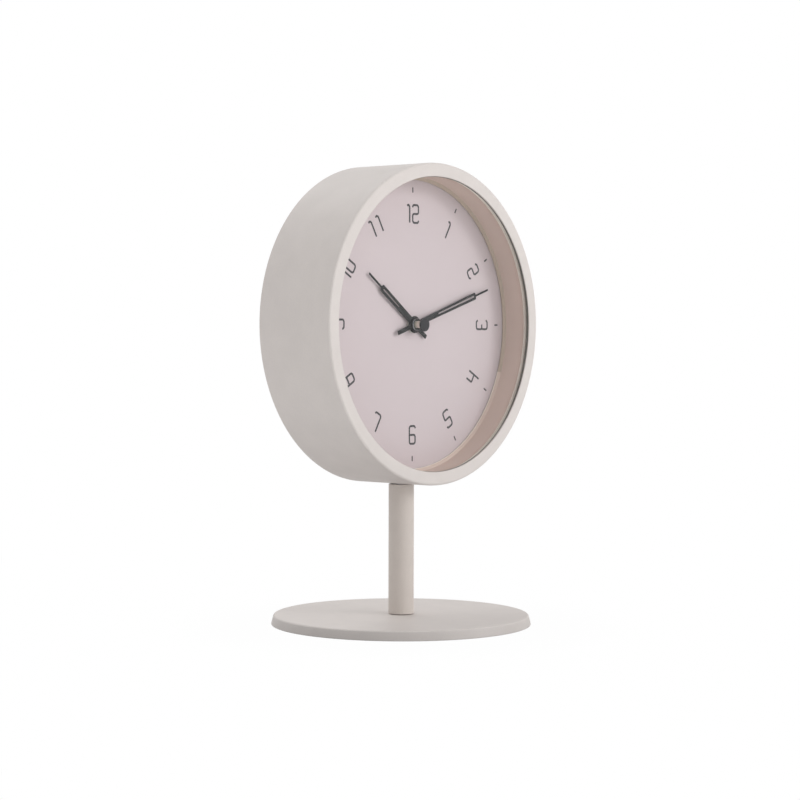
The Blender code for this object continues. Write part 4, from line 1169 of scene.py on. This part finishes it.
@dataclass
class HandStack:
    """The hands, the nuts that hold them and the dark disc in front."""

    finishes: Finishes
    head: Head
    nut: Span = (17.1 * MM, 17.8 * MM)
    nut_radius: float = 4.8 * MM
    nut_bore: float = 3.7 * MM
    nut_edge: float = 0.15 * MM
    collar: Span = (14.9 * MM, 15.4 * MM)
    collar_radius: float = 3.1 * MM
    collar_bore: float = 2.0 * MM
    collar_rim: float = 0.35 * MM
    collar_bevel: float = 0.3 * MM
    collar_floor: float = 0.15 * MM
    tube: Span = (10.9 * MM, 14.2 * MM)
    tube_radius: float = 1.8 * MM
    tube_bore: float = 1.0 * MM
    cap: Span = (9.8 * MM, 10.6 * MM)
    cap_radius: float = 3.5 * MM
    cap_rounds: Span = (0.12 * MM, 0.08 * MM)
    cap_skin: float = 0.1 * MM

    def build(self) -> None:
        """Builds and dresses the hands from the dial forwards."""
        outlines = [circle(self.nut_radius, 6), circle(self.nut_bore, 48)]
        nut = self.head.plate("dial_nut", outlines, self.nut, self.finishes.nickel, self.nut_edge)
        stands_for(nut, "shaft_nut")
        for hand in HANDS:
            hand.build(self.head, self.finishes.hand_paint)
        self.hand_nut()
        self.seconds()

    def hand_nut(self) -> None:
        """The round nut on the minute hand, with a dark recess."""
        front, back = self.collar
        floor = back - self.collar_floor
        inner = self.collar_radius - self.collar_rim
        profile = [
            (self.collar_radius, back, KEEN),
            (self.collar_bore, back, CRISP),
            (self.collar_bore, floor, KEEN),
            (inner, floor, CRISP),
            (inner, front, CRISP),
            (self.collar_radius - self.collar_bevel, front, KEEN),
            (self.collar_radius, floor, CRISP),
        ]
        plate, recess = self.finishes.black_nickel, self.finishes.gloss_black
        collar = turned("hand_collar", profile, Turning.REARWARD, self.head.at(), plate, Steps.MEDIUM)
        collar.data.materials.append(recess)
        for face in collar.data.polygons:
            if self.head.reach(face.center) < inner + SLACK:
                face.material_index = 1
        stands_for(collar, "minute_hand_nut", body="minute_hand_set")

    def seconds(self) -> None:
        """The tube on the seconds arbor and the dark disc in front of it."""
        sleeve = ring_profile(self.tube_radius, self.tube_bore, *self.tube, FINE)
        front, back = self.cap
        front_round, back_round = self.cap_rounds
        seat = front + self.cap_skin
        disc = [
            (0.0, front, 0.0),
            (self.cap_radius, front, front_round),
            (self.cap_radius, back, back_round),
            (self.tube_bore, back, 0.0),
            (self.tube_bore, seat, 0.0),
            (0.0, seat, 0.0),
        ]
        for name, profile, material, node in (
            ("seconds_sleeve", sleeve, self.finishes.tube_acetal, "seconds_tube"),
            ("seconds_disc", disc, self.finishes.cap_paint, "seconds_cap"),
        ):
            piece = turned(name, profile, Turning.REARWARD, self.head.at(), material, Steps.MEDIUM)
            stands_for(piece, node, body="seconds_set")


@dataclass
class Rear:
    """The rear cover, its screws and the brackets behind it."""

    finishes: Finishes
    head: Head
    radius: float = 78.2 * MM
    cover: Span = (43.8 * MM, 44.8 * MM)
    window_half: float = 31.0 * MM
    window_round: float = 5.0 * MM
    clamp_edge: float = 0.15 * MM
    screw_reach: float = 71.2 * MM
    screw_hole: float = 1.6 * MM
    screw_radius: float = 1.3 * MM
    screw_head: float = 2.7 * MM
    screw_head_height: float = 1.3 * MM
    screw_dome: float = 0.6 * MM
    screw_dome_round: float = 0.5 * MM
    screw_length: float = 5.0 * MM
    screw_start: float = 45.1 * MM
    cross_arm: float = 1.3 * MM
    cross_half: float = 0.3 * MM
    cross_depths: Span = (-0.7 * MM, 1.0 * MM)
    cross_turn: float = 0.4

    def build(self) -> None:
        """Builds and dresses the rear."""
        places = [self.screw_place(number) for number in range(3)]
        outlines = [
            circle(self.radius, Steps.LARGE.value),
            rounded_square(self.window_half, self.window_round),
            *[circle(self.screw_hole, 32, place) for place in places],
        ]
        cover = self.head.plate("cover_sheet", outlines, self.cover, self.finishes.case_coat, SOFT)
        stands_for(cover, "rear_cover")
        for number, place in enumerate(places, start=1):
            self.screw(number, place)
            stands_for(softened_copy(f"dial_clamp_{number}", self.finishes.zinc, self.clamp_edge))

    def screw_place(self, number: int) -> Point:
        """Where a screw sits, from the axis of the hands, seen from the front."""
        turn = math.tau * number / 3
        return self.screw_reach * math.sin(turn), self.screw_reach * math.cos(turn)

    def screw(self, number: int, place: Point) -> None:
        """A pan head screw with a cross recess.

        Args:
            number: Its number.
            place: Where it sits.
        """
        start = self.screw_start
        top = start + self.screw_head_height
        profile = [
            (0.0, top, 0.0),
            (0.75 * self.screw_head, top, self.screw_dome_round),
            (self.screw_head, top - self.screw_dome, EASED),
            (self.screw_head, start, CRISP),
            (self.screw_radius, start, 0.0),
            (self.screw_radius, start - self.screw_length, EASED),
            (0.0, start - self.screw_length, 0.0),
        ]
        name, zinc = f"pan_screw_{number}", self.finishes.zinc
        screw = turned(name, profile, Turning.REARWARD, self.head.at(0.0, *place), zinc, Steps.SMALL)
        arm, half = self.cross_arm, self.cross_half
        cross = [
            (-half, -arm), (half, -arm), (half, -half), (arm, -half), (arm, half), (half, half),
            (half, arm), (-half, arm), (-half, half), (-arm, half), (-arm, -half), (-half, -half),
        ]
        front, back = self.cross_depths
        span = (top + front, top + back)
        cut(screw, self.head.plate("recess", [cross], span, zinc, KEEN, self.cross_turn * number, place))
        stands_for(screw, f"cover_screw_{number}")


@dataclass
class Movement:
    """The quartz movement, whose rear shows through the window of the cover."""

    finishes: Finishes
    head: Head
    housing_edge: float = 0.25 * MM
    knob: Span = (36.7 * MM, 39.3 * MM)
    knob_radius: float = 4.5 * MM
    knob_edge: float = 0.12 * MM
    knob_flutes: int = 24
    # One flute's corners: share of its turn, and of the knob's radius
    knob_flute: tuple[Span, ...] = ((0.0, 1.0), (0.3, 1.0), (0.5, 0.93), (0.8, 0.93))
    knob_hole: float = 1.3 * MM
    knob_place: Point = (-6.364 * MM, 6.364 * MM)
    cell_radius: float = 7.1 * MM
    cell_round: float = 0.5 * MM
    cell_nub: float = 1.0 * MM
    cell_nub_radius: float = 2.7 * MM

    def build(self) -> None:
        """Builds and dresses the movement."""
        for node in ("movement_front_housing", "movement_rear_housing"):
            stands_for(softened_copy(node, self.finishes.abs, self.housing_edge))
        self.setting_knob()
        self.cell()
        self.inside()

    def setting_knob(self) -> None:
        """The fluted knob that sets the hands."""
        outline = []
        for flute in range(self.knob_flutes):
            turn = math.tau * flute / self.knob_flutes
            for share, radius in self.knob_flute:
                angle = turn + share * math.tau / self.knob_flutes
                reach = radius * self.knob_radius
                outline.append((reach * math.cos(angle), reach * math.sin(angle)))
        outlines = [outline, circle(self.knob_hole, 32)]
        knob = self.head.plate(
            "knob", outlines, self.knob, self.finishes.abs, self.knob_edge, place=self.knob_place
        )
        stands_for(knob, "setting_knob", body="setting_set")

    def cell(self) -> None:
        """The cell: a wrapped can with its two steel ends."""
        low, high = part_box("battery_cell")
        middle = Vector(((low.x + high.x) / 2, (low.y + high.y) / 2, (low.z + high.z) / 2))
        start, end = low.x - middle.x, high.x - middle.x
        shoulder = end - self.cell_nub
        profile = [
            (0.0, end, 0.0),
            (self.cell_nub_radius, end, EASED),
            (self.cell_nub_radius, shoulder, FINE),
            (self.cell_radius, shoulder, self.cell_round),
            (self.cell_radius, start, self.cell_round),
            (0.0, start, 0.0),
        ]
        can = turned("cell_can", profile, Turning.ACROSS, middle, self.finishes.cell_wrap, Steps.MEDIUM)
        can.data.materials.append(self.finishes.tin)
        for face in can.data.polygons:
            if abs(face.normal.x) > 0.9 or face.center.x > high.x - self.cell_nub:
                face.material_index = 1
        stands_for(can, "battery_cell")

    def inside(self) -> None:
        """Finishes for the nodes inside, whose shapes are right as they are."""
        white = (
            "hour_wheel", "cannon_pinion", "minute_wheel", "centre_wheel", "third_wheel", "seconds_wheel",
            "step_wheel", "rotor", "coil_bobbin",
        )
        groups = (
            (white, self.finishes.acetal),
            (("shaft_bush", "train_bridge"), self.finishes.brass),
            (("rubber_washer",), self.finishes.rubber),
            (("stator",), self.finishes.iron),
            (("coil_winding",), self.finishes.wire),
            (("circuit_board",), self.finishes.board),
            (("driver_chip",), self.finishes.resin),
            (("quartz_crystal", "contact_positive", "contact_negative"), self.finishes.tin),
        )
        for nodes, material in groups:
            for node in nodes:
                dress(node, material)


# The studio


@dataclass
class Lamp:
    """A soft box that faces the clock."""

    name: str
    place: tuple[float, float, float]
    size: float
    power: float

    def build(self, aim: Vector) -> None:
        """Hangs the lamp.

        Args:
            aim: What it faces.
        """
        light = bpy.data.lights.new(self.name, "AREA")
        light.shape = "DISK"
        light.size = self.size
        light.energy = self.power
        lamp = bpy.data.objects.new(self.name, light)
        lamp.location = self.place
        lamp.rotation_mode = "QUATERNION"
        lamp.rotation_quaternion = (aim - lamp.location).to_track_quat("-Z", "Y")
        bpy.context.scene.collection.objects.link(lamp)


@dataclass
class Studio:
    """Camera, world, floor and soft boxes."""

    azimuth: float = -49.10
    elevation: float = 1.78
    roll: float = 0.135
    distance: float = 1094.3 * MM
    lens: float = 97.66
    sensor: float = 36.0
    aim_height: float = 113.48 * MM
    aim_shift: float = -0.76 * MM
    ambient_left: float = 0.94
    ambient_right: float = 0.56
    dark_room: float = 0.15
    # Cosines of the angle to the photographer's side between which the sky darkens
    room_fade: Span = (0.7, 1.0)
    floor_radius: float = 4.0
    floor_glow: float = 0.99
    floor_fade: Span = (0.12, 0.4)
    # How dark the floor's paint is close round the base: painted shade, which mostly only bounced light sees
    floor_paint: float = 0.12
    floor_shade: Span = (0.07, 0.13)
    lamps: tuple[Lamp, ...] = (
        Lamp("Key soft box", place=(1.0, -1.95, 0.85), size=0.7, power=9.0),
        Lamp("Front soft box", place=(0.35, -2.2, 0.45), size=1.8, power=14.5),
        Lamp("Back soft box", place=(0.3, 1.2, 2.0), size=1.0, power=8.0),
    )

    def build(self) -> None:
        """Sets up the studio."""
        self.camera()
        self.world()
        self.floor()
        for lamp in self.lamps:
            lamp.build(Vector((0.0, 0.0, self.aim_height)))
        bpy.context.scene.view_settings.view_transform = "Standard"

    def camera(self) -> None:
        """Puts the camera where the photograph was taken from."""
        turn, rise = math.radians(self.azimuth), math.radians(self.elevation)
        back = Vector((math.sin(turn) * math.cos(rise), -math.cos(turn) * math.cos(rise), math.sin(rise)))
        right = Vector((math.cos(turn), math.sin(turn), 0.0))
        up = back.cross(right)
        aim = Vector((0.0, 0.0, self.aim_height)) + right * self.aim_shift
        data = bpy.data.cameras.new("Camera")
        data.lens = self.lens
        data.sensor_width = self.sensor
        data.sensor_fit = "HORIZONTAL"
        eye = bpy.data.objects.new("Camera", data)
        seat = Matrix((right, up, back)).transposed().to_4x4()
        spin = Matrix.Rotation(math.radians(self.roll), 4, "Z")
        eye.matrix_world = Matrix.Translation(aim + back * self.distance) @ seat @ spin
        bpy.context.scene.collection.objects.link(eye)
        bpy.context.scene.camera = eye

    def world(self) -> None:
        """A white background, and a grey sky that is darker on the right and behind the photographer."""
        world = bpy.data.worlds.new("Studio")
        world.use_nodes = True
        bpy.context.scene.world = world
        graph = Graph(world.node_tree)
        graph.tree.nodes.clear()
        way = graph.add("TexCoord").outputs["Generated"]
        across = graph.add("SeparateXYZ", {"Vector": way}).outputs["X"]
        level = graph.ranged(across, (-1.0, 1.0), (self.ambient_left, self.ambient_right))
        turn = math.radians(self.azimuth)
        behind = (math.sin(turn), -math.cos(turn), 0.0)
        facing = graph.add("VectorMath", {0: way, 1: behind}, operation="DOT_PRODUCT").outputs["Value"]
        room = graph.ranged(facing, self.room_fade, (1.0, self.dark_room), "SMOOTHSTEP")
        sky = graph.add("Background", {"Color": WHITE, "Strength": graph.joined("MULTIPLY", level, room)})
        white = graph.add("Background", {"Color": WHITE, "Strength": 1.0})
        graph.close("OutputWorld", graph.seen(), sky, white)

    def floor(self) -> None:
        """A pale floor that melts into the background and keeps the clock's shadow. Its paint is dark close
        round the base: painted shade, which shows mostly in the light bounced off the floor.
        """
        shape = bmesh.new()
        bmesh.ops.create_circle(shape, cap_ends=True, segments=64, radius=self.floor_radius)
        made = bpy.data.materials.new("Studio floor")
        made.use_nodes = True
        graph = Graph(made.node_tree)
        graph.tree.nodes.clear()
        away = graph.add("VectorMath", {0: graph.place()}, operation="LENGTH").outputs["Value"]
        # Painted shade on the floor close round the base
        pale = graph.ranged(away, self.floor_shade, (self.floor_paint, 1.0), "SMOOTHSTEP")
        white = graph.ranged(away, self.floor_fade, (self.floor_glow, 1.0), "SMOOTHSTEP")
        paint = graph.add("BsdfDiffuse", {"Color": pale})
        glow = graph.add("Emission", {"Color": WHITE, "Strength": 1.0})
        graph.close("OutputMaterial", graph.joined("MULTIPLY", graph.seen(), white), paint, glow)
        floor = finish_mesh("floor", shape, made)


def main() -> None:
    """Builds the clock's pieces and the studio, and reports each."""
    logging.basicConfig(level=logging.INFO, format="%(name)s: %(message)s")
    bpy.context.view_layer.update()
    finishes = Finishes()
    head = Head()
    Studio().build()
    Stand(finishes).build()
    Case(finishes, head).build()
    Dial(finishes, head).build()
    HandStack(finishes, head).build()
    Rear(finishes, head).build()
    Movement(finishes, head).build()


if __name__ == "__main__":
    main()
